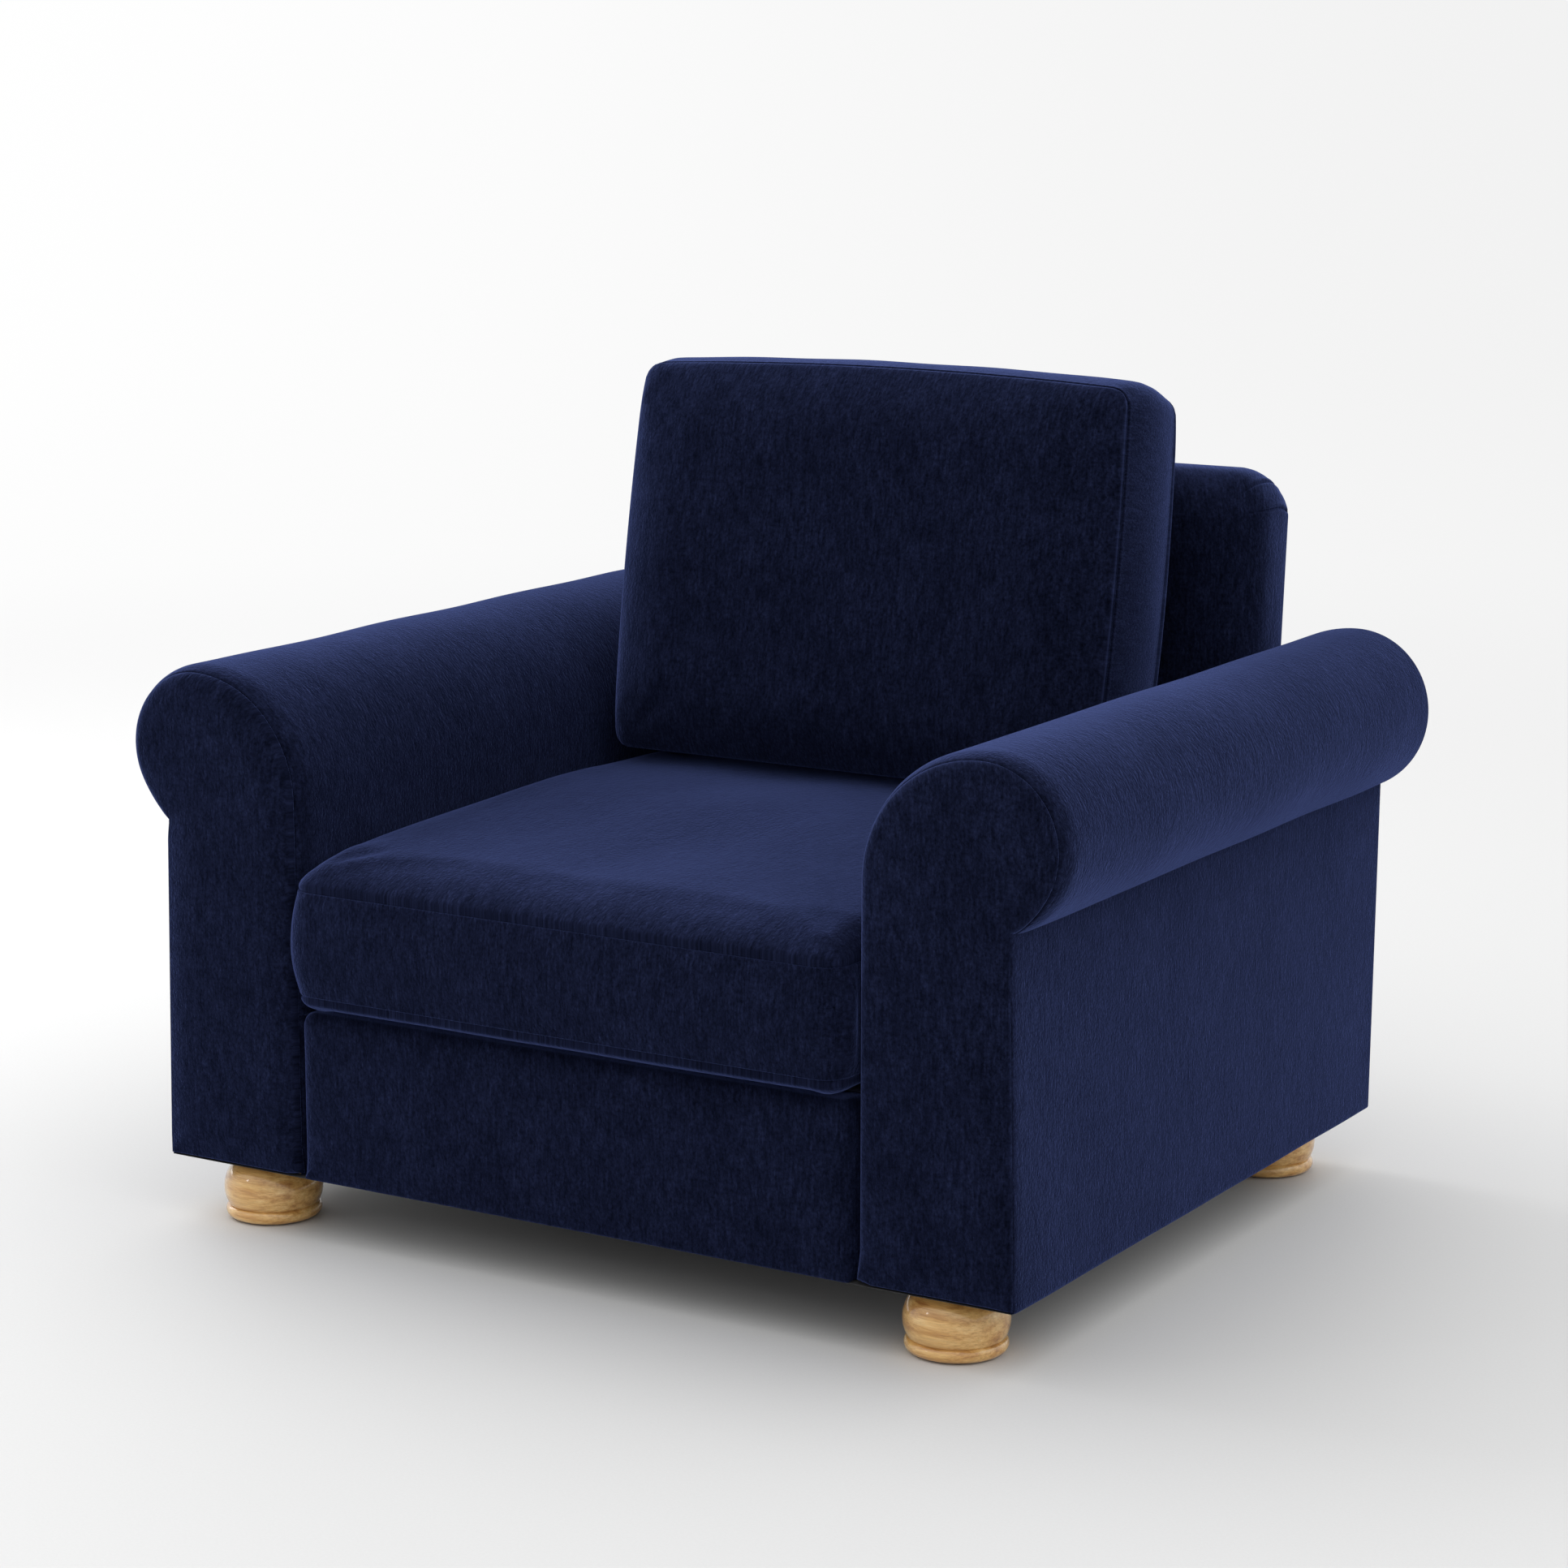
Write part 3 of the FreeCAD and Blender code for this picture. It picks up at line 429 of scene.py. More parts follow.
def arm_outline(inset):
    """Closed front view of the left arm, anticlockwise from its lower outer corner."""
    outside, roll, inner_arc, inside, bottom = ARM_COUNTS
    low, outer_x, inner_x = HEM + inset, ARM_HEM - inset, ARM_INNER + inset
    return np.concatenate([
        line((outer_x, low), (ARM_NECK - inset, neck_height(inset)), outside),
        arc(ROLL_CENTRE, ROLL_RADIUS - inset, neck_angle(inset), 90, roll),
        arc((ROLL_X, SPRING), INNER_RADIUS - inset, 90, 180, inner_arc),
        line((inner_x, SPRING), (inner_x, low), inside),
        line((inner_x, low), (outer_x, low), bottom),
    ])


def rounded_box(low, high, corners, inset, counts, arc_count=12):
    """Closed outline of a rectangle, anticlockwise from its lower right; corners are four radii."""
    x0, z0, x1, z1 = low[0] + inset, low[1] + inset, high[0] - inset, high[1] - inset
    least = 1.5 * MM
    r = [max(c - inset, least) for c in corners]
    up, across = counts
    return np.concatenate([
        arc((x1 - r[0], z0 + r[0]), r[0], -90, 0, arc_count),
        line((x1, z0 + r[0]), (x1, z1 - r[1]), up),
        arc((x1 - r[1], z1 - r[1]), r[1], 0, 90, arc_count),
        line((x1 - r[1], z1), (x0 + r[2], z1), across),
        arc((x0 + r[2], z1 - r[2]), r[2], 90, 180, arc_count),
        line((x0, z1 - r[2]), (x0, z0 + r[3]), up),
        arc((x0 + r[3], z0 + r[3]), r[3], 180, 270, arc_count),
        line((x0 + r[3], z0), (x1 - r[0], z0), across),
    ])


def level_ring(plan, height):
    """Plan points (x, y) at one height."""
    return np.column_stack([plan, np.full(len(plan), height)])


def pillow(name, rings, replaces, mirror=1, uv_shift=(0, 0), slot="velvet"):
    """A closed form from rings of the same number of points, first and last ring filled in."""
    count = len(rings[0])
    vertices = np.concatenate(rings)
    faces = grid_faces(len(rings), count, closed=True)
    faces.append(tuple(range(count)))
    faces.append(tuple(range(len(vertices) - count, len(vertices))))
    uvs = np.stack([vertices[:, 0] + 0.7 * vertices[:, 1], vertices[:, 2]], axis=1) + np.array(uv_shift)
    vertices = vertices * np.array([mirror, 1, 1])
    fill_ends(piece(name, vertices, faces, slot, "chair", replaces, uvs))


def ring(outline, depth):
    """Outline points (across, up) at this depth (a number, or one for each point)."""
    return np.stack([outline[:, 0], np.broadcast_to(depth, len(outline)), outline[:, 1]], axis=1)


# ---------------------------------------------------------------- arms
SEAM_BACK = 10 * MM        # the arm's front seam lies this far behind the front face
EDGE = 22 * MM             # width of the padded front edge's rounding
EDGE_DEPTH = 34 * MM       # how far back that rounding runs, across the seam and into the wrap
CRISP = 3 * MM             # rounding along the outer upright edge and the hem
SWELL = 0.4 * MM           # how far the covers stand out between their seams
WRAP_CORE = (0.44, 0, 0.45)


def arm_edge_radius():
    """Rounding for each point of arm_outline: soft round the roll and inside, crisp outside."""
    outside, roll, inner_arc, inside, bottom = ARM_COUNTS
    soft_start = np.clip(np.linspace(0, 5, roll), 0, 1)
    radii = np.concatenate([
        np.full(outside, CRISP),
        CRISP + (EDGE - CRISP) * soft_start ** 0.7,
        np.full(inner_arc + inside, EDGE),
        np.full(bottom, 4.5 * MM),
    ])
    return smoothed(radii, 4)


def edge_inset(width, behind):
    """How far in from its outline a rounded edge of this width lies, this far behind the front."""
    return width * quarter_round(behind, EDGE_DEPTH)


def arm_front(side, mirror):
    """The padded scroll-shaped front of an arm, rounded back to its seam."""
    widths = arm_edge_radius()
    crown, waviness = 3.0 * MM, 0.5 * MM
    seam_inset = edge_inset(widths, SEAM_BACK)
    outer, inner = arm_outline(0), arm_outline(EDGE)
    inward = (inner - outer) / EDGE
    rings = []
    for behind, gap in ((15, 3.4), (11.5, 2.6), (10.2, 1.3), (9.6, 0.45), (8.8, 0.1)):
        points = outer + inward * (seam_inset + gap * MM)[:, None]
        rings.append(ring(points, FRONT + behind * MM))
    for turn in np.linspace(0.12, 1, 11):
        behind = SEAM_BACK * (1 - math.sin(turn * math.pi / 2))
        inset = seam_inset + (edge_inset(widths, 0) - seam_inset) * (1 - math.cos(turn * math.pi / 2))
        rings.append(ring(outer + inward * inset[:, None], FRONT + behind - crown * 0.25 * turn ** 2))
    shelf = arm_outline(34 * MM)
    for share in (0.45, 1.0):
        outline = inner * (1 - share) + shelf * share
        points = ring(outline, FRONT - crown * (0.25 + 0.75 * math.sin(share * math.pi / 2)))
        points[:, 1] -= waviness * ripple(points, 0.16, 3) * share
        rings.append(points)
    for share in (0.25, 0.5, 0.75, 0.93):
        points = ring(towards_spine(shelf, share), FRONT - crown)
        points[:, 1] -= waviness * ripple(points, 0.16, 3)
        rings.append(points)
    pillow(f"{side}_arm_front_facing", rings, (f"{side}_arm_front_cover", "arm_front_pads"),
           mirror, (0.3 * mirror, 0.11))


def wrap_path():
    """The wrap's section from low on the inside face over the roll to the neck, and its lengths."""
    neck, close = neck_angle(0), neck_angle(0) + 4.5
    points = np.concatenate([
        line((ARM_INNER, WRAP_LOW), (ARM_INNER, SPRING), 44),
        arc((ROLL_X, SPRING), INNER_RADIUS, 180, 90, 42),
        arc(ROLL_CENTRE, ROLL_RADIUS, 90, close, 46),
        arc(ROLL_CENTRE, ROLL_RADIUS, close, neck, 9),
        [(ARM_NECK, neck_height(0))],
    ])
    steps = np.linalg.norm(np.diff(points, axis=0), axis=1)
    return points, np.concatenate([[0], np.cumsum(steps)])


def arm_wrap(side, mirror):
    """Inside face and roll in one cover, seamed to the front facing and tucked in at the neck."""
    section, lengths = wrap_path()
    to_neck = (lengths[-1] - lengths)[:, None]
    width = CRISP + (EDGE - CRISP) * np.clip(to_neck / (34 * MM), 0, 1) ** 0.7
    start = FRONT + SEAM_BACK
    beside_rest = section[:, 0] < REST_HALF - 5 * MM
    end = rear_y(section[:, 1]) - np.where(beside_rest, REST_DEPTH - 40 * MM, 0)
    y = np.array([fine_places(start, last, 150) for last in end])
    x, z, run = (np.broadcast_to(v[:, None], y.shape) for v in (section[:, 0], section[:, 1], lengths))
    points = np.stack([x, y, z], axis=2)
    distance = np.minimum(y - start, end[:, None] - y)
    soft = np.clip(distance / (60 * MM), 0, 1) * 0.7 * MM * ripple(points, 0.21, 11)
    edge = np.maximum(2.0 * MM * quarter_round(distance, 2.6 * MM), 1.6 * MM * quarter_round(to_neck, 3 * MM))
    swell = soft + SWELL - edge - edge_inset(width, y - FRONT)
    points = points + outward_normals(points, WRAP_CORE) * swell[..., None]
    inside = np.array(WRAP_CORE) * (mirror, 1, 1)
    points[..., 0] *= mirror
    uvs = np.stack([y + 0.17 * mirror, run], axis=2)
    cloth_panel(f"{side}_arm_wrap", points, uvs, 2.4 * MM, inside,
                (f"{side}_arm_cover", f"{side}_arm_roll_pad", f"{side}_inside_arm_pad"))


def arm_return(side, mirror):
    """The arm's cover turned back beside the front rail, below the wrap."""
    behind = SEAM_BACK + np.linspace(0, 34 * MM, 24)
    up = np.linspace(HEM + 0.6 * MM, WRAP_LOW + 6 * MM, 40)
    turned_in = edge_inset(EDGE, behind) + 2 * MM * quarter_round(behind - SEAM_BACK, 2.6 * MM)
    x, z = np.meshgrid(ARM_INNER + 0.6 * MM + turned_in, up, indexing="ij")
    y = np.broadcast_to((FRONT + behind)[:, None], x.shape)
    points = np.stack([x * mirror, y, z], axis=2)
    uvs = np.stack([y, z], axis=2) + np.array([0.17 * mirror, 0.3])
    cloth_panel(f"{side}_arm_return", points, uvs, 1.5 * MM, (mirror * 0.44, 0, 0.15),
                (f"{side}_arm_cover",))


def outside_x(height):
    """x of the arm's outside face, which spreads a little towards the hem."""
    return ARM_NECK + (ARM_HEM - ARM_NECK) * (neck_height(0) - height) / (neck_height(0) - HEM)


def arm_outside(side, mirror):
    """The flat outside panel under the roll, turned under the hem."""
    start = FRONT + 2.2 * MM
    up = HEM + fine_span(neck_height(0) + 3 * MM - HEM, 9 * MM)
    y = np.array([fine_places(start, rear_y(height), 90) for height in up])
    x, z = (np.broadcast_to(v[:, None], y.shape) for v in (outside_x(up), up))
    distance = np.minimum(y - start, rear_y(z) - y)
    soft = 0.45 * MM * ripple(np.stack([x, y, z], axis=2), 0.24, 5) * np.clip(distance / (50 * MM), 0, 1)
    edges = 1.6 * MM * quarter_round(distance, 2.6 * MM) + 2.2 * MM * quarter_round(z - HEM, 3.5 * MM)
    front_turn = 1.8 * MM * np.clip(1 - (y - FRONT) / (16 * MM), 0, 1) ** 2
    points = np.stack([mirror * (x + soft + SWELL - edges - front_turn), y, z], axis=2)
    uvs = np.stack([y, z], axis=2) + np.array([0.53 * mirror, 0.2])
    cloth_panel(f"{side}_arm_outside_panel", points, uvs, 2 * MM, (0, 0, 0.25),
                (f"{side}_arm_outside_cover",))


def arm_rear(side, mirror):
    """The flat rear end of an arm, following the rake."""
    round_off = 3 * MM
    turned_in = arm_outline(1.2 * MM)
    rings = [ring(turned_in, rear_y(turned_in[:, 1]) - depth * MM) for depth in (9, 3.2)]
    for inset in np.array([0.4, 1.0, 1.8, 3.0, 6, 12, 26]) * MM:
        outline = arm_outline(inset)
        rise = round_off * quarter_round(inset, round_off)
        dome = 0.8 * MM * min(1, inset / (40 * MM))
        rings.append(ring(outline, rear_y(outline[:, 1]) - rise + dome))
    for share in (0.3, 0.6, 0.9):
        shape = towards_spine(outline, share)
        rings.append(ring(shape, rear_y(shape[:, 1]) + dome))
    pillow(f"{side}_arm_rear_panel", rings, (), mirror, (0.8, 0.05))


# ---------------------------------------------------------------- front rail and back rest
def front_rail():
    """The padded panel under the seat, between the arms."""
    low = (RAIL_LOW[0] + 0.4 * MM, HEM)
    high = (RAIL_HIGH[0] - 0.4 * MM, RAIL_HIGH[2])
    corners = (5 * MM, 15 * MM, 15 * MM, 5 * MM)

    def outline(inset):
        return rounded_box(low, high, corners, inset, (48, 90))

    at_hem = outline(0)[:, 1] - low[1] < 0.02 * (high[1] - low[1])
    radii = smoothed(np.where(at_hem, 5 * MM, 20 * MM), 6)
    wide = np.array([(high[0] + 2.6 * MM) / high[0], 1])
    rear, turned_under = RAIL_HIGH[1], HEM + 1.6 * MM
    rings = []
    for inset, depth, spread in ((3, rear, wide), (0.3, rear - 2 * MM, wide),
                                 (0, FRONT + 13 * MM, wide), (0, FRONT + 11.8 * MM, 1)):
        points = ring(outline(inset * MM) * spread, depth)
        points[:, 2] = np.maximum(points[:, 2], turned_under)
        rings.append(points)
    for inset in np.array([0, 0.5, 1.4, 3, 5.2, 8.2, 12, 17, 24, 34, 48, 64, 80]) * MM:
        shape = outline(inset)
        rise = 0.55 * radii * quarter_round(inset, radii)
        dome = 2.5 * MM * math.sin(min(1, inset / (70 * MM)) * math.pi / 2)
        points = ring(shape, FRONT + rise - dome)
        points[:, 1] -= 0.5 * MM * ripple(points, 0.17, 8) * min(1, inset / (20 * MM))
        rings.append(points)
    pillow("front_rail_panel", rings, ("front_rail_cover", "front_rail_pad"), 1, (0.05, 0.4))


def rest_outline(inset):
    """Front view of the back rest, finely divided round its upper corners."""
    return rounded_box((-REST_HALF, REST_LOW[2] - 30 * MM), (REST_HALF, REST_TOP),
                       (20 * MM, REST_CORNER, REST_CORNER, 20 * MM), inset, (60, 110), 60)


def corner_seams(shape):
    """How deep the two short seams that take in the fabric round each upper corner press in."""
    across = np.abs(shape[:, 0]) - (REST_HALF - REST_CORNER)
    up = shape[:, 1] - (REST_TOP - REST_CORNER)
    angle = np.arctan2(up, across)
    depth = np.zeros(len(shape))
    for seam in (math.radians(10), math.radians(47)):
        off = (angle - seam) * REST_CORNER
        puff = 0.7 * MM * np.exp(-((np.abs(off) - 4 * MM) / (3 * MM)) ** 2)
        depth = depth + 2.4 * MM * np.exp(-(off / (1.3 * MM)) ** 2) - puff
    return depth * ((across > 0) & (up > -12 * MM))


def lowered_rear(shape, share):
    """Draws the rear edge of the back rest in a little at the sides and down along the top."""
    drop = 11 * MM * np.clip((shape[:, 1] - 600 * MM) / (150 * MM), 0, 1)
    draw = 3 * MM * np.clip(shape[:, 0] / (300 * MM), -1, 1)
    return shape - share * np.stack([draw, drop], axis=1)


def press_in(shape, depth):
    """Moves outline points of the back rest this far towards the middle of its corner."""
    centre = np.stack([np.sign(shape[:, 0]) * (REST_HALF - REST_CORNER),
                       np.full(len(shape), REST_TOP - REST_CORNER)], axis=1)
    towards = centre - shape
    towards /= np.maximum(np.linalg.norm(towards, axis=1, keepdims=True), 1e-9)
    return shape + towards * np.asarray(depth)[:, None]


def back_rest():
    """The tight back rest: soft front edges, boxing round the sides and top, two seams a corner."""
    insets = np.array([0, 0.8, 2, 4, 7, 11, 16, 22, 29, 37, 46, 58, 74, 96, 124, 160, 200, 236]) * MM
    edge, edge_depth, crown = 62 * MM, 48 * MM, 9 * MM
    rings = []
    for depth in np.array([0, 1, 2.2, 4, 7, 11, 16, 22, 30, 40]) * MM:
        seam = 1.2 * MM if depth == 0 else 0
        shape = rest_outline(seam)
        shape = press_in(shape, corner_seams(shape) * min(1, depth / (4 * MM)))
        shape = lowered_rear(shape, max(0.0, 1 - depth / (40 * MM)) ** 2)
        rings.append(ring(shape, rear_y(shape[:, 1]) - depth - 1.5 * MM))
    for inset in insets:
        shape = rest_outline(inset)
        rise = edge_depth * quarter_round(inset, edge)
        dome = crown * math.sin(min(1, inset / (220 * MM)) * math.pi / 2)
        fade = max(0.0, 1 - inset / (26 * MM))
        pressed = press_in(shape, corner_seams(shape) * fade)
        points = ring(pressed, rear_y(shape[:, 1]) - REST_DEPTH + rise - dome)
        points[:, 1] -= 0.9 * MM * ripple(points, 0.22, 21) * min(1, inset / (40 * MM))
        rings.append(points)
    pillow("back_rest", rings, ("back_rest_cover", "back_rest_pad"), 1, (0.61, 0.33))


def outside_back():
    """The flat outside back panel behind the back rest, down to the hem."""
    def outline(inset):
        return rounded_box((-REST_HALF, HEM), (REST_HALF, REST_TOP),
                           (4 * MM, REST_CORNER, REST_CORNER, 4 * MM), inset, (90, 90), 16)

    rings = []
    for inset, depth in ((1.4, 6), (1.0, 2.2), (0.5, 1.3), (0.9, 0.6), (1.8, 0.1), (3.2, -0.2), (8, -0.5),
                         (20, -0.9), (48, -1.4), (100, -1.9), (180, -2.2), (300, -2.3)):
        shape = lowered_rear(outline(inset * MM), 1.0)
        points = ring(shape, rear_y(shape[:, 1]) - depth * MM)
        points[:, 1] += 0.4 * MM * ripple(points, 0.25, 31) * min(1, inset / 40)
        rings.append(points)
    pillow("outside_back_panel", rings, ("outside_back_cover",), 1, (0.21, 0.77))


def seat_deck():
    """The sprung platform under the seat cushion: deck cloth over its pad, turned down in front."""
    low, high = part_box("seat_deck_pad")
    deep = (DECK_TOP - low[2]) / MM
    rings = []
    rounded_edge = ((0.5, deep), (0.5, 9), (0, 6), (0.6, 3), (2.2, 1), (5, 0.2), (12, 0), (60, 0), (150, 0))
    for inset, drop in rounded_edge:
        plan = rounded_box(low[:2], high[:2], (12 * MM,) * 4, inset * MM, (50, 50))
        rings.append(level_ring(plan, DECK_TOP - drop * MM))
    pillow("seat_deck", rings, ("deck_cloth", "seat_deck_pad"), slot="deck_cloth")


# ---------------------------------------------------------------- cushions
def cubic_weights(fine, coarse):
    """Matrix that carries values at even coarse places smoothly to the fine ones."""
    count = len(coarse)
    step = (coarse[-1] - coarse[0]) / (count - 1)
    weights = np.zeros((len(fine), count))
    for row, place in enumerate(fine):
        at = np.clip((place - coarse[0]) / step, 0, count - 1 - 1e-9)
        index = int(at)
        t = at - index
        parts = (0.5 * (-t + 2 * t ** 2 - t ** 3), 0.5 * (2 - 5 * t ** 2 + 3 * t ** 3),
                 0.5 * (t + 4 * t ** 2 - 3 * t ** 3), 0.5 * (-t ** 2 + t ** 3))
        for neighbour, part in enumerate(parts, index - 1):
            weights[row, min(max(neighbour, 0), count - 1)] += part
    return weights


class BoxedCushion:
    """A boxed cushion in its own frame: across, along and up, with seams round both faces."""

    def __init__(self, half, corner, boxing, upper, lower, bulges, tight, bows=(0, 0, 0)):
        """upper and lower say how each face rises: its shoulder's height and width, then its crown's
        height, middle and spread. bulges are the boxing's at the sides and ends, tight the shoulder's
        width along the sides, and bows how far the seams bow out at the sides, far end and near end."""
        self.half, self.corner, self.boxing = half, corner, boxing
        self.upper, self.lower, self.bulges, self.tight = upper, lower, bulges, tight
        self.bows = {0: bows[0], 1: bows[1], 2: bows[0], 3: bows[2]}

    def side_point(self, side, fraction):
        """Outline point on one side, from the middle of one rounded corner to the next."""
        hx, hy = self.half
        r = self.corner
        length = (hy if side % 2 == 0 else hx) * 2 - 2 * r
        quarter = r * math.pi / 4
        at = fraction * (length + 2 * quarter)
        reach = hx if side % 2 == 0 else hy
        other = hy if side % 2 == 0 else hx
        first = at < quarter
        last = at > quarter + length
        turn_in = np.clip((quarter - at) / r, 0, math.pi / 4)
        turn_out = np.clip((at - quarter - length) / r, 0, math.pi / 4)
        straight = np.clip(at - quarter, 0, length)
        turned = reach - r + r * np.cos(turn_in + turn_out)
        out = np.where(first | last, turned, reach)
        run = -other + r + straight - r * np.sin(turn_in) + r * np.sin(turn_out)
        out = out + self.bows[side] * (1 - (2 * fraction - 1) ** 2)
        places = {0: (out, run), 1: (-run, out), 2: (-out, -run), 3: (run, -out)}
        return np.stack(places[side], axis=-1)

    def face_plan(self, a, b):
        """Coons patch over the outline: a across and b along, from 0 to 1."""
        right, top = self.side_point(0, b), self.side_point(1, 1 - a)
        left, bottom = self.side_point(2, 1 - b), self.side_point(3, a)
        A, B = a[:, None, None], b[None, :, None]
        corners = [self.side_point(3, np.array([0.0]))[0], self.side_point(3, np.array([1.0]))[0],
                   self.side_point(1, np.array([1.0]))[0], self.side_point(1, np.array([0.0]))[0]]
        edges = (1 - A) * left[None] + A * right[None] + (1 - B) * bottom[:, None] + B * top[:, None]
        mix = ((1 - A) * (1 - B) * corners[0] + A * (1 - B) * corners[1]
               + (1 - A) * B * corners[2] + A * B * corners[3])
        return edges - mix

    def face(self, a, b, upper):
        """A face with a rounded shoulder along its seam and a gentle crown inside it."""
        plan = self.face_plan(a, b)
        shoulder, width, crown, middle, spread = self.upper if upper else self.lower
        from_front = b * 2 * self.half[1]
        wider = max(0, 0.45 * width - self.tight)
        side_width = self.tight + wider * np.exp(-(from_front / (95 * MM)) ** 2)
        to_side = (np.minimum(a, 1 - a) * 2 * self.half[0])[:, None]
        to_end = (np.minimum(b, 1 - b) * 2 * self.half[1])[None, :]
        across = 1 - quarter_round(to_side, side_width[None, :])
        along = 1 - quarter_round(to_end, width)
        dome = np.exp(-((b[None, :] - middle) / spread) ** 2) * (1 - 0.35 * (2 * a[:, None] - 1) ** 2)
        rise = across * along * (shoulder + crown * dome)
        level = (self.boxing / 2 + rise) * (1 if upper else -1)
        return np.concatenate([plan, level[..., None]], axis=2)

    def wall(self, side, fraction, rise):
        plan = self.side_point(side, fraction)
        outward = np.gradient(plan, axis=0)
        outward = np.stack([outward[:, 1], -outward[:, 0]], axis=1)
        outward /= np.linalg.norm(outward, axis=1, keepdims=True)
        most = self.bulges[1] + (self.bulges[0] - self.bulges[1]) * np.abs(outward[:, :1])
        round_out = most * (1 - (2 * rise[None, :] - 1) ** 2)
        level = self.boxing * (rise - 0.5)
        flat = plan[:, None] + outward[:, None] * round_out[:, :, None]
        return np.concatenate([flat, np.broadcast_to(level[None, :, None], flat.shape[:2] + (1,))], axis=2)

    def patches(self, a, b, rise):
        """Upper face, lower face and four walls, as grids of points."""
        along = {0: b, 1: 1 - a[::-1], 2: 1 - b[::-1], 3: a}
        walls = [self.wall(side, along[side], rise) for side in range(4)]
        return [self.face(a, b, True), self.face(a, b, False)] + walls


def join_patches(patches):
    """One welded mesh from the six grids: vertices, faces and each grid's vertex numbers."""
    vertices, faces, numbers = [], [], []
    seen = {}
    for patch in patches:
        rows, columns = patch.shape[:2]
        index = np.empty((rows, columns), dtype=int)
        for i in range(rows):
            for j in range(columns):
                on_edge = i in (0, rows - 1) or j in (0, columns - 1)
                key = tuple(np.round(patch[i, j] * 20000).astype(int)) if on_edge else None
                if on_edge and key in seen:
                    index[i, j] = seen[key]
                    continue
                index[i, j] = len(vertices)
                vertices.append(patch[i, j])
                if on_edge:
                    seen[key] = index[i, j]
        numbers.append(index)
        for i in range(rows - 1):
            for j in range(columns - 1):
                quad = (index[i, j], index[i + 1, j], index[i + 1, j + 1], index[i, j + 1])
                if len(set(quad)) > 2:
                    faces.append(tuple(dict.fromkeys(int(q) for q in quad)))
    return np.array(vertices), faces, numbers


SETTLING_FRAMES = 20


def blow_up(name, vertices, faces, held, pressure, cap):
    """Cloth simulation of the cover under the push of its filling; returns how each vertex moves."""
    mesh = new_mesh(name, vertices, faces)
    trial = new_object(name, mesh)
    face_outwards(mesh)
    group = trial.vertex_groups.new(name="seams")
    group.add([int(v) for v in held], 1.0, "REPLACE")
    cloth = trial.modifiers.new("Cloth", "CLOTH")
    settings = {"quality": 6, "mass": 0.35, "tension_stiffness": 18, "compression_stiffness": 18,
                "shear_stiffness": 9, "bending_stiffness": 1.2, "use_pressure": True,
                "uniform_pressure_force": pressure, "vertex_group_mass": "seams"}
    for key, given in settings.items():
        setattr(cloth.settings, key, given)
    cloth.settings.effector_weights.gravity = 0
    cloth.point_cache.frame_start = 1
    cloth.point_cache.frame_end = SETTLING_FRAMES
    scene = bpy.context.scene
    for number in range(1, SETTLING_FRAMES + 1):
        scene.frame_set(number)
        bpy.context.view_layer.update()
    settled = trial.evaluated_get(bpy.context.evaluated_depsgraph_get()).to_mesh()
    after = np.empty(len(vertices) * 3)
    settled.vertices.foreach_get("co", after)
    move = after.reshape(-1, 3) - vertices
    scene.frame_set(1)
    bpy.data.objects.remove(trial)
    length = np.linalg.norm(move, axis=1, keepdims=True)
    return move * np.minimum(1, cap / np.maximum(length, 1e-9))


def cushion_moves(cushion, name, pressure, cap):
    """The simulated move of each of the six patches on an even coarse grid."""
    counts = [max(8, round(2 * h / (13 * MM))) for h in cushion.half]
    a, b = (np.linspace(0, 1, n + 1) for n in counts)
    rise = np.linspace(0, 1, max(5, round(cushion.boxing / (11 * MM))) + 1)
    coarse = cushion.patches(a, b, rise)
    vertices, faces, numbers = join_patches(coarse)
    held = set()
    for index in numbers[:2]:
        held |= set(index[0]) | set(index[-1]) | set(index[:, 0]) | set(index[:, -1])
    move = blow_up(name, vertices, faces, held, pressure, cap)
    return a, b, rise, [move[index] for index in numbers]


def to_nearer_end(lengths):
    return np.minimum(lengths, lengths[-1] - lengths)


def seamed(patch, distance, seed):
    """A patch with the seams' groove and lip along its edges and a soft unevenness between them."""
    normals = outward_normals(patch, (0, 0, 0))
    lip = 0.5 * MM * np.exp(-((distance - 2.6 * MM) / (1.5 * MM)) ** 2)
    soft = 1.1 * MM * ripple(patch, 0.19, seed) * np.clip(distance / (45 * MM), 0, 1)
    patch = patch + normals * (lip + soft)[..., None]
    groove = 1.5 * MM * np.exp(-(distance / (0.9 * MM)) ** 2)
    level = -np.sign(patch[..., 2:3]) * np.array([0, 0, 0.5])
    outward = patch * np.array([1, 1, 0])
    outward /= np.maximum(np.linalg.norm(outward, axis=2, keepdims=True), 1e-9)
    return patch + groove[..., None] * (level - 0.8 * outward)


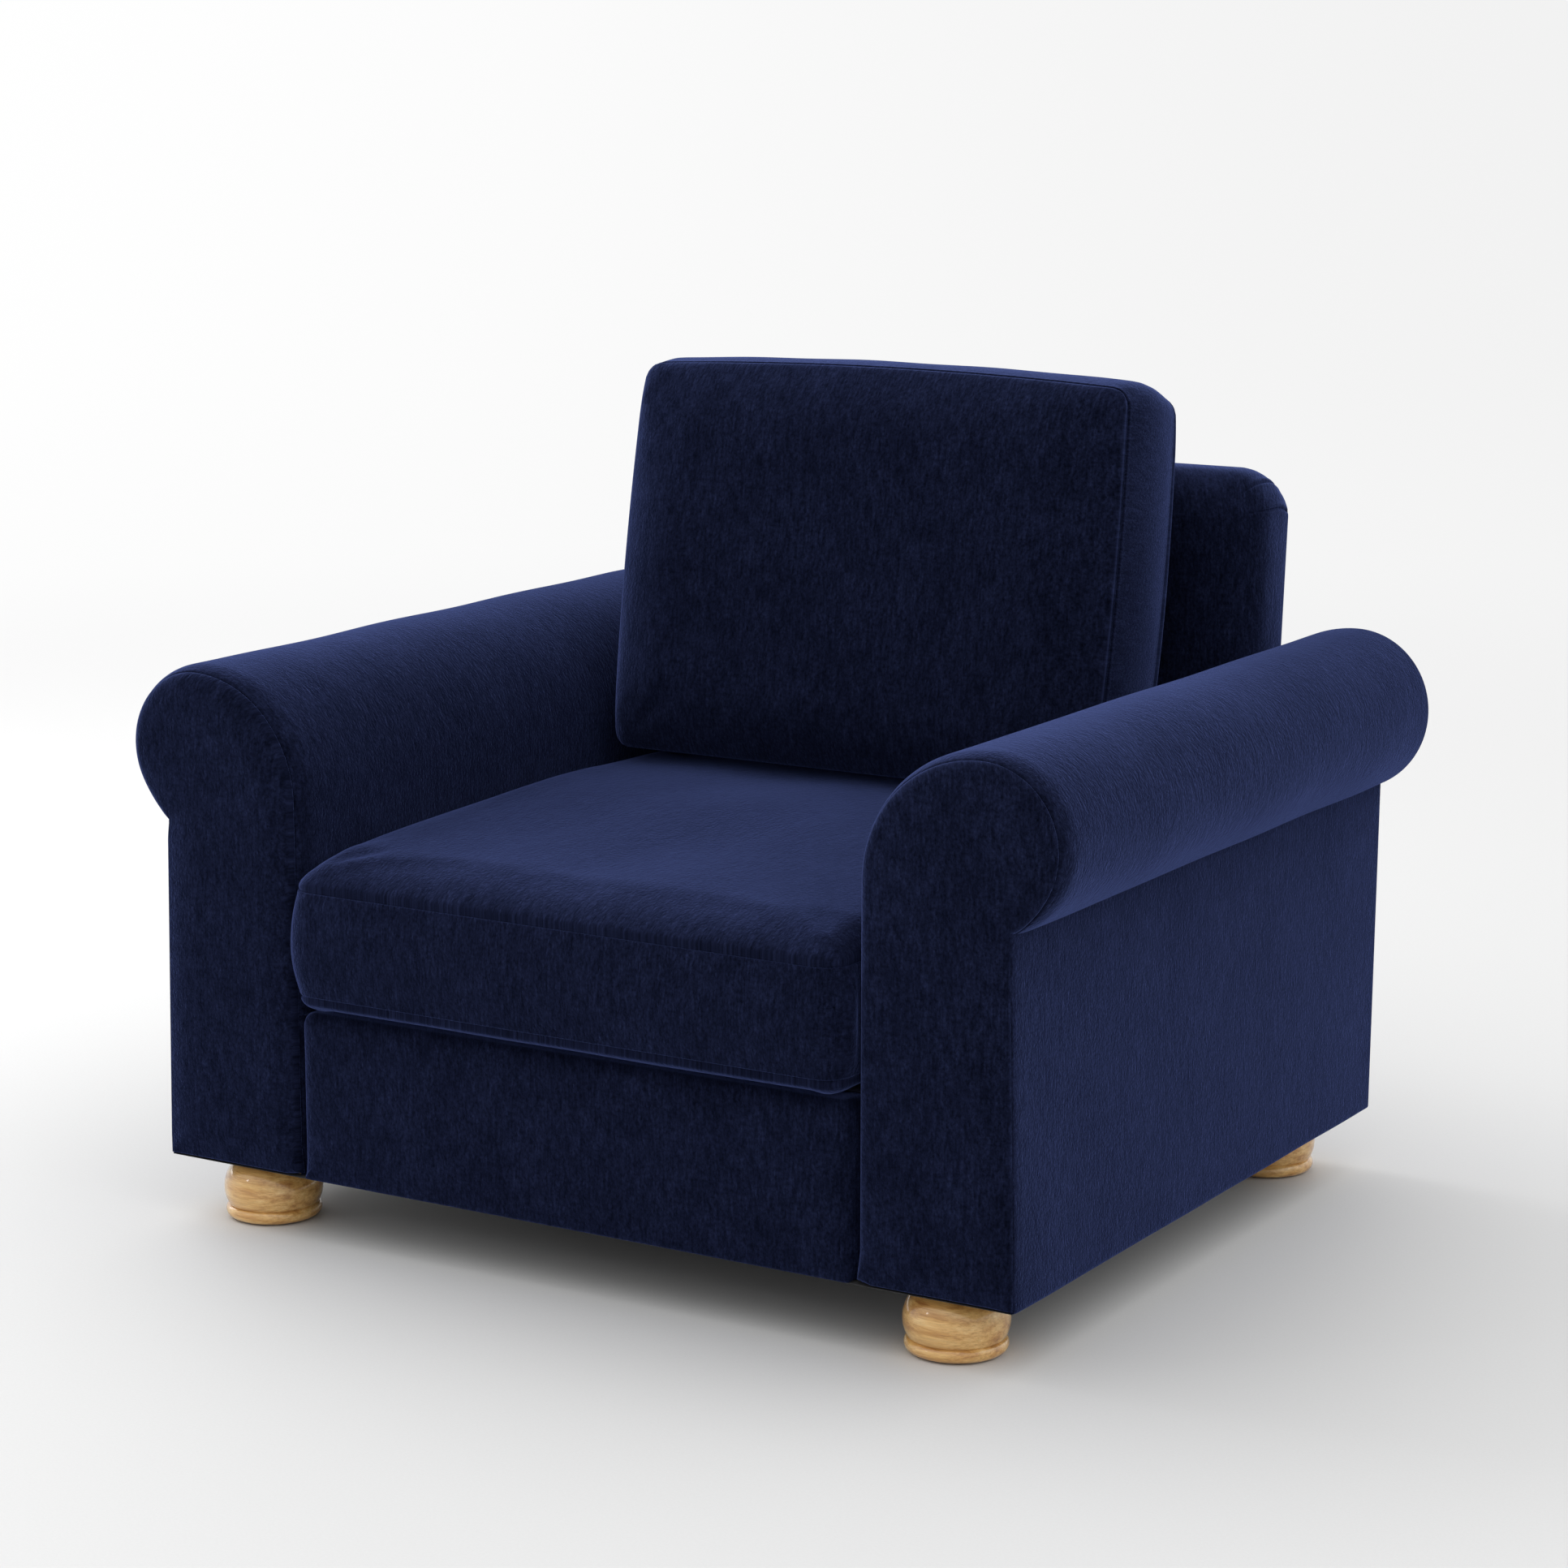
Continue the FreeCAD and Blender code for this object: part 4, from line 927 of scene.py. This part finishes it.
def make_cushion(name, cushion, cap, place, rest, seed):
    """Simulates, carries the result to a fine mesh, adds the seams and puts the cushion in place."""
    a0, b0, rise0, moves = cushion_moves(cushion, name + "_trial", 1.2, cap)
    a_length, b_length = (fine_span(2 * h, 7 * MM) for h in cushion.half)
    rise_length = fine_span(cushion.boxing, 6 * MM)
    a, b, rise = a_length / a_length[-1], b_length / b_length[-1], rise_length / rise_length[-1]
    along = {0: (b, b0), 1: (1 - a[::-1], 1 - a0[::-1]), 2: (1 - b[::-1], 1 - b0[::-1]), 3: (a, a0)}
    dressed, uvs = [], []
    for number, patch in enumerate(cushion.patches(a, b, rise)):
        if number < 2:
            first, second = cubic_weights(a, a0), cubic_weights(b, b0)
            distance = np.minimum(to_nearer_end(a_length)[:, None], to_nearer_end(b_length)[None, :])
        else:
            fractions, coarse = along[number - 2]
            first, second = cubic_weights(fractions, coarse), cubic_weights(rise, rise0)
            distance = np.broadcast_to(to_nearer_end(rise_length)[None, :], patch.shape[:2])
        patch = patch + np.einsum("ri,ijk,cj->rck", first, moves[number], second)
        patch = seamed(patch, distance, seed)
        dressed.append(patch)
        if number < 2:
            uvs.append(patch[..., :2])
        else:
            run = fractions * 2 * cushion.half[number % 2 == 1]
            uvs.append(np.stack(np.broadcast_arrays(run[:, None], patch[..., 2]), axis=2) + 0.37 * number)
    vertices, faces, numbers = join_patches(dressed)
    flat_uvs = np.zeros((len(vertices), 2))
    for index, uv in list(zip(numbers, uvs))[::-1]:
        flat_uvs[index] = uv
    replaces = (f"{name}_cover", f"{name}_core")
    piece(name, rest(place(vertices)), faces, "velvet", name, replaces, flat_uvs)


def seat_cushion():
    """The loose seat cushion, pressed between the arms and flat where it lies on the deck."""
    front, back = SEAT_LOW[1] + 6 * MM, SEAT_HIGH[1] - 3 * MM
    half = ((SEAT_HIGH[0] - SEAT_LOW[0]) / 2 - 3 * MM, (back - front) / 2)
    low_seam, top_seam = 268 * MM, 379 * MM
    cushion = BoxedCushion(half, corner=28 * MM, boxing=top_seam - low_seam,
                           upper=(34 * MM, 86 * MM, 15 * MM, 0.6, 0.3), lower=(18 * MM, 30 * MM, 0, 0.5, 1),
                           bulges=(11 * MM, 6 * MM), tight=20 * MM)
    middle = np.array([0, (front + back) / 2, (low_seam + top_seam) / 2])

    def rest(points):
        points[:, 2] = np.maximum(points[:, 2], DECK_TOP + 1.2 * MM)
        points[:, 1] = np.minimum(points[:, 1], SEAT_HIGH[1])
        room = np.clip((FRONT + 16 * MM - points[:, 1]) / (30 * MM), 0, 1) * 12 * MM
        return ease_sides(points, ARM_INNER - 1.0 * MM + room)

    make_cushion("seat_cushion", cushion, 1.8 * MM, lambda points: points + middle, rest, 41)


def ease_sides(points, limit):
    """Presses whatever reaches past this limit to either side softly back against it."""
    give = 2 * MM
    over = np.abs(points[:, 0]) - (limit - give)
    press = np.where(over > 0, over - give * (1 - np.exp(-np.maximum(over, 0) / give)), 0)
    points[:, 0] -= np.sign(points[:, 0]) * press
    return points


LEAN = math.radians(9.7)
CUSHION_HEIGHT = 435 * MM
CUSHION_THICK = 115 * MM
CUSHION_FOOT = np.array([0, 119 * MM, 440 * MM])
CUSHION_HALF = 302 * MM
CUSHION_ACROSS = np.array([1, 0, 0])
CUSHION_UP = np.array([0, math.sin(LEAN), math.cos(LEAN)])
CUSHION_FORWARD = np.array([0, -math.cos(LEAN), math.sin(LEAN)])


def back_place(points):
    """From the cushion's own frame (across, up the cushion, towards the sitter) to the chair's."""
    centre = CUSHION_FOOT + CUSHION_UP * CUSHION_HEIGHT / 2 - CUSHION_FORWARD * CUSHION_THICK / 2
    return centre + points @ np.array([CUSHION_ACROSS, CUSHION_UP, CUSHION_FORWARD])


def back_cushion():
    """The loose back cushion, leaning on the back rest and standing on the seat cushion."""
    cushion = BoxedCushion((CUSHION_HALF, CUSHION_HEIGHT / 2), corner=20 * MM, boxing=CUSHION_THICK - 3 * MM,
                           upper=(32 * MM, 66 * MM, 2 * MM, 0.5, 0.5),
                           lower=(26 * MM, 60 * MM, 34 * MM, 0.4, 0.5),
                           bulges=(8 * MM, 10 * MM), tight=66 * MM, bows=(6 * MM, 9 * MM, 0))

    def rest(points):
        limit = rear_y(points[:, 2]) - REST_DEPTH - 11 * MM
        over = points[:, 1] - limit
        points[:, 1] -= np.maximum(over, 0)
        below = np.minimum((points - CUSHION_FOOT) @ CUSHION_UP, 0)
        return points - below[:, None] * CUSHION_UP

    make_cushion("back_cushion", cushion, 5 * MM, back_place, rest, 57)


# ---------------------------------------------------------------- zips
ZIP_HALF = 240 * MM
TAPE_HALF = 12 * MM
TOOTH_PITCH = 3.2 * MM


def seat_zip_place(points):
    """From a zip's own frame (along, across, outwards) to the rear boxing of the seat cushion."""
    low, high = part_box("seat_cushion_zip")
    middle = (low[2] + high[2]) / 2
    return np.stack([points[:, 0], low[1] + points[:, 2], middle + points[:, 1]], axis=1)


def back_zip_place(points):
    """From a zip's own frame to the lower boxing of the back cushion."""
    foot = CUSHION_FOOT - CUSHION_FORWARD * CUSHION_THICK / 2
    return foot + points @ np.array([CUSHION_ACROSS, -CUSHION_FORWARD, -CUSHION_UP])


def slab_parts(low, high, corner, round_off, base):
    """Vertices and faces of a plate with rounded corners and edges, for joining with others."""
    rings = []
    for end, sign in ((low[2], 1), (high[2], -1)):
        for rise, inset in ((0, 1), (0.3, 0.3), (1, 0))[::sign]:
            plan = rounded_box(low[:2], high[:2], (corner,) * 4, inset * round_off, (2, 4), 6)
            rings.append(level_ring(plan, end + sign * rise * round_off))
    count = len(rings[0])
    vertices = np.concatenate(rings)
    faces = grid_faces(len(rings), count, base, closed=True)
    faces.append(tuple(range(base, base + count)))
    faces.append(tuple(range(base + len(vertices) - count, base + len(vertices))))
    return vertices, faces


def plates(name, parts, place, slot, body, replaces):
    """One piece from several rounded plates given as (low, high, corner, round_off)."""
    vertices, faces = [], []
    for part in parts:
        base = sum(len(v) for v in vertices)
        more, sides = slab_parts(*part, base)
        vertices.append(more)
        faces += sides
    fill_ends(piece(name, place(np.concatenate(vertices)), faces, slot, body, replaces))


def zip_tape(name, place, body, node):
    """The two tapes of a closed zip as one strip, a row of stitches pressed in along each edge."""
    u = np.linspace(-ZIP_HALF, ZIP_HALF, 160)
    v = np.linspace(-TAPE_HALF, TAPE_HALF, 17)
    stitches = 0.22 * MM * np.exp(-((np.abs(v) - 7.5 * MM) / (0.8 * MM)) ** 2)
    height = 0.55 * MM - stitches[None, :] + 0.12 * MM * np.sin(u / (9 * MM))[:, None]
    points = np.stack(np.broadcast_arrays(u[:, None], v[None, :], height), axis=2)
    shaped = place(points.reshape(-1, 3)).reshape(points.shape)
    inside = place(np.array([[0, 0, -50 * MM]]))[0]
    tape = cloth_panel(name, shaped, points[..., :2], 0.4 * MM, inside, (node,), slot="zip_tape", body=body)


def zip_fastener(body, place, node, slider_body):
    """The tapes, the closed teeth between them, and the slider with its pull at the left end."""
    name = body.replace("cushion", "zip")
    zip_tape(f"{name}_tape", place, body, node)
    teeth = []
    end_gap = 4 * MM
    for number in range(int(2 * (ZIP_HALF - end_gap) / TOOTH_PITCH)):
        start = -ZIP_HALF + end_gap + number * TOOTH_PITCH
        side = 1 if number % 2 else -1
        low_v, high_v = sorted((side * 2.3 * MM, -side * 0.7 * MM))
        teeth.append(((start, low_v, 0.5 * MM), (start + 0.72 * TOOTH_PITCH, high_v, 1.5 * MM),
                      0.5 * MM, 0.25 * MM))
    plates(f"{name}_teeth", teeth, place, "zip_metal", body, (node,))
    end = ZIP_HALF
    slider = [
        ((end - 10 * MM, -4.6 * MM, 1.6 * MM), (end, 4.6 * MM, 2.9 * MM), 2.2 * MM, 0.4 * MM),
        ((end - 7 * MM, -1.3 * MM, 2.7 * MM), (end - 3 * MM, 1.3 * MM, 4.3 * MM), 0.7 * MM, 0.35 * MM),
        ((end - 22 * MM, -2.6 * MM, 4.0 * MM), (end - 4 * MM, 2.6 * MM, 5.0 * MM), 1.8 * MM, 0.3 * MM),
    ]
    plates(f"{name}_slider", slider, place, "zip_metal", slider_body, (f"{slider_body}_slider",))


# ---------------------------------------------------------------- underside
def dust_cover():
    """The black cloth stapled on under the chair, its edges turned in, sagging a little."""
    width, depth, _ = DUST_HIGH - DUST_LOW
    x, y = fine_span(width, 12 * MM), fine_span(depth, 12 * MM)
    edge = np.minimum(to_nearer_end(x)[:, None], to_nearer_end(y)[None, :])
    grid = np.stack(np.meshgrid(DUST_LOW[0] + x, DUST_LOW[1] + y, indexing="ij"), axis=2)
    fold = 0.8 * MM * np.clip((edge - 16 * MM) / (1.5 * MM), 0, 1)
    sag = 2.2 * MM * np.clip(edge / (220 * MM), 0, 1) ** 0.8
    waves = 0.5 * MM * ripple(np.dstack([grid, 0 * edge]), 0.16, 77) * np.clip(edge / (80 * MM), 0, 1)
    points = np.dstack([grid, DUST_LOW[2] + 0.1 * MM + fold - sag + waves])
    cloth = cloth_panel("dust_cover_cloth", points, grid, 0.6 * MM, (0, 0, 0.5), ("dust_cover",),
                        slot="dust_cloth")


def staples():
    """A row of staples along each edge of the dust cover."""
    inset, pitch = 7 * MM, 42 * MM
    first, last = DUST_LOW[:2] + inset, DUST_HIGH[:2] - inset
    top, crown, long, wire = HEM + 0.1 * MM, 1.2 * MM, 5.5 * MM, 0.5 * MM
    parts = []
    for edge in (last, first):
        for axis, half in ((0, (long, wire)), (1, (wire, long))):
            for along in np.arange(first[axis] + 20 * MM, last[axis] - 10 * MM, pitch):
                x, y = (along, edge[1]) if axis == 0 else (edge[0], along)
                parts.append(((x - half[0], y - half[1], top - crown), (x + half[0], y + half[1], top),
                              0.4 * MM, 0.3 * MM))
    plates("dust_cover_staples", parts, lambda points: points, "zinc_steel", "chair", ())


# ---------------------------------------------------------------- feet
def foot_profile():
    """Half section of the turned foot from the glide's recess up: bead, waist and bulb (in mm here)."""
    bead = arc((43.4, 8.6), 7.4, -86, 52, 26)
    bulb = arc((16.4, 33.2), 36, -29, 68, 44)
    start, end = bead[-1], bulb[0]
    waist_control = np.array([44.6, 15.6])
    t = np.linspace(0, 1, 11)[1:-1, None]
    waist = (1 - t) ** 2 * start + 2 * t * (1 - t) * waist_control + t ** 2 * end
    glide, glide_radius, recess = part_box("foot_glides")[1][2] / MM, 38.6, 0.9
    return np.concatenate([[(0, glide), (glide_radius, glide), (glide_radius, recess)], bead, waist, bulb,
                           [(29.6, HEM / MM), (12, HEM / MM), (0, HEM / MM)]]) * MM


def make_foot(node):
    """One turned foot: the profile swept round the middle of its node, closed at both ends."""
    low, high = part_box(node)
    centre = ((low[0] + high[0]) / 2, (low[1] + high[1]) / 2)
    profile = foot_profile()
    around = 112
    angles = np.linspace(0, 2 * math.pi, around, endpoint=False)
    rows = profile[1:-1]
    vertices = [(centre[0] + radius * math.cos(t), centre[1] + radius * math.sin(t), height)
                for radius, height in rows for t in angles]
    faces = grid_faces(len(rows), around, closed=True)
    for end, start in ((profile[0], 0), (profile[-1], (len(rows) - 1) * around)):
        tip = len(vertices)
        vertices.append((*centre, end[1]))
        faces += [(start + k, start + (k + 1) % around, tip) for k in range(around)]
    piece(node.replace("foot", "bun_foot"), vertices, faces, "oak", "chair", (node,))


# ---------------------------------------------------------------- stage
STUDIO_RIGHT, STUDIO_FRONT = (0.853, 0.522, 0), (0.522, -0.853, 0)
# The sweep's glow is painted light: brighter on the left than the right, and dimmer on the side in front of
# the chair.
SWEEP_LEFT, SWEEP_RIGHT, SWEEP_IN_FRONT = 1.0, 0.885, 0.6    # how brightly the sweep glows
SKY_BRIGHT_SIDE = Vector((0.05, 0.34, 0.94)).normalized()
SKY_DIM, SKY_BRIGHT = 0.06, 1.38


def sweep_mesh():
    """A round floor that turns up into a wall far away."""
    around = 96
    section = [(0.0, 0.0), (2.0, 0.0), (5.0, 0.0), (9.0, 0.0)]
    section += [(9 + 4 * math.sin(t), 4 - 4 * math.cos(t)) for t in np.linspace(0.1, 1.4, 12)]
    angles = np.linspace(0, 2 * math.pi, around, endpoint=False)
    vertices = [(0, 0, 0)] + [(r * math.cos(t), r * math.sin(t), z) for r, z in section[1:] for t in angles]
    faces = [(0, 1 + k, 1 + (k + 1) % around) for k in range(around)]
    faces += [face[::-1] for face in grid_faces(len(section) - 1, around, 1, closed=True)]
    mesh = new_mesh("floor", vertices, faces)
    mesh.polygons.foreach_set("use_smooth", [True] * len(faces))
    return mesh


def sweep_material():
    """Matt and pale near the chair, turning some metres away into a glowing white with painted light falloff:
    brighter on the left than the right, and dimmer in front.
    """
    material, tree, shader = new_material("floor_pale_painted_glow", 0.6)
    position = mapped(tree, "Object", (1, 1, 1))
    grains = noise(tree, position, 350, 3, 0.6)
    speck = ramp(tree, grains, [(0.35, (0.615, 0.615, 0.615)), (0.65, (0.630, 0.630, 0.630))])
    tree.links.new(speck, shader.inputs["Base Color"])
    shader.inputs["Specular IOR Level"].default_value = 0.2
    distance = add(tree, "ShaderNodeVectorMath", operation="LENGTH")
    tree.links.new(position, distance.inputs[0])
    # Beyond about a metre and a half the floor turns from a lit matt floor into painted glow.
    painted_glow_share = smooth_range(tree, distance.outputs["Value"], 1.5, 5.2)
    across = reach_along(tree, position, STUDIO_RIGHT)
    # Painted light falloff across the glow, from bright on the left to dimmer on the right.
    level = smooth_range(tree, across, -3.6, 3.6, SWEEP_LEFT, SWEEP_RIGHT)
    before = reach_along(tree, position, STUDIO_FRONT)
    # Painted dimming of the glow on the side in front of the chair.
    painted_front_dimming = smooth_range(tree, before, 2.8, 5.0, 1.0, SWEEP_IN_FRONT)
    glow = tree.nodes.new("ShaderNodeEmission")
    tree.links.new(combine(tree, "MULTIPLY", level, painted_front_dimming), glow.inputs["Strength"])
    both = tree.nodes.new("ShaderNodeMixShader")
    tree.links.new(painted_glow_share, both.inputs[0])
    tree.links.new(shader.outputs[0], both.inputs[1])
    tree.links.new(glow.outputs[0], both.inputs[2])
    tree.links.new(both.outputs[0], tree.nodes["Material Output"].inputs["Surface"])
    return material


def make_stage():
    floor = new_object("floor", sweep_mesh())
    floor.data.materials.append(sweep_material())


def area_light(name, place, target, size, power):
    light = bpy.data.lights.new(name, "AREA")
    light.shape = "RECTANGLE"
    light.size, light.size_y = size
    light.energy = power
    lamp = new_object(name, light)
    lamp.location = place
    lamp.rotation_euler = (Vector(target) - Vector(place)).to_track_quat("-Z", "Y").to_euler()


def make_lights():
    """A room bright above and behind the chair and dim in front, one large soft bank and three weak ones."""
    world = bpy.data.worlds.new("studio")
    world.use_nodes = True
    tree = world.node_tree
    backdrop = tree.nodes["Background"]
    backdrop.inputs["Color"].default_value = (1.0, 1.0, 1.0, 1)
    direction = tree.nodes.new("ShaderNodeTexCoord")
    towards = reach_along(tree, direction.outputs["Generated"], SKY_BRIGHT_SIDE)
    strength = smooth_range(tree, towards, -0.75, 0.85, SKY_DIM, SKY_BRIGHT)
    tree.links.new(strength, backdrop.inputs["Strength"])
    bpy.context.scene.world = world
    area_light("key_bank", (-3.0, 0.3, 3.0), (0, 0, 0.4), (2.6, 2.6), 60)
    area_light("right_bank", (3.0, 0.4, 3.0), (0, 0, 0.4), (2.0, 2.4), 6)
    area_light("left_bank", (-3.0, -0.05, 1.2), (0, -0.05, 0.5), (0.7, 1.6), 8)
    area_light("front_softbox", (-2.4, -3.4, 1.9), (0, -0.2, 0.1), (0.35, 0.35), 3.5)


def make_camera():
    """The camera, looking a little down on the chair from in front and the sitter's left."""
    camera = new_object("camera", bpy.data.cameras.new("camera"))
    camera.data.lens = 91.15
    camera.data.sensor_width = 36
    camera.location = (2.1709, -3.5558, 1.2752)
    camera.rotation_euler = (math.radians(90 - 11.24), 0, math.radians(31.47))
    bpy.context.scene.camera = camera
    bpy.context.scene.view_settings.view_transform = "Standard"


# ---------------------------------------------------------------- build
make_camera()
for side, mirror in SIDES:
    arm_front(side, mirror)
    arm_wrap(side, mirror)
    arm_return(side, mirror)
    arm_outside(side, mirror)
    arm_rear(side, mirror)
front_rail()
back_rest()
outside_back()
seat_deck()
seat_cushion()
back_cushion()
zip_fastener("seat_cushion", seat_zip_place, "seat_cushion_zip", "seat_zip")
zip_fastener("back_cushion", back_zip_place, "back_cushion_zip", "back_zip")
dust_cover()
staples()
for corner in ("front_left", "front_right", "rear_left", "rear_right"):
    make_foot(f"foot_{corner}")

for row in frame["record"]["subparts"]:
    mesh = frame["nodes"][row["node"]].data
    mesh.materials.clear()
    mesh.materials.append(MATERIALS[row["material_slot"]])

make_stage()
make_lights()
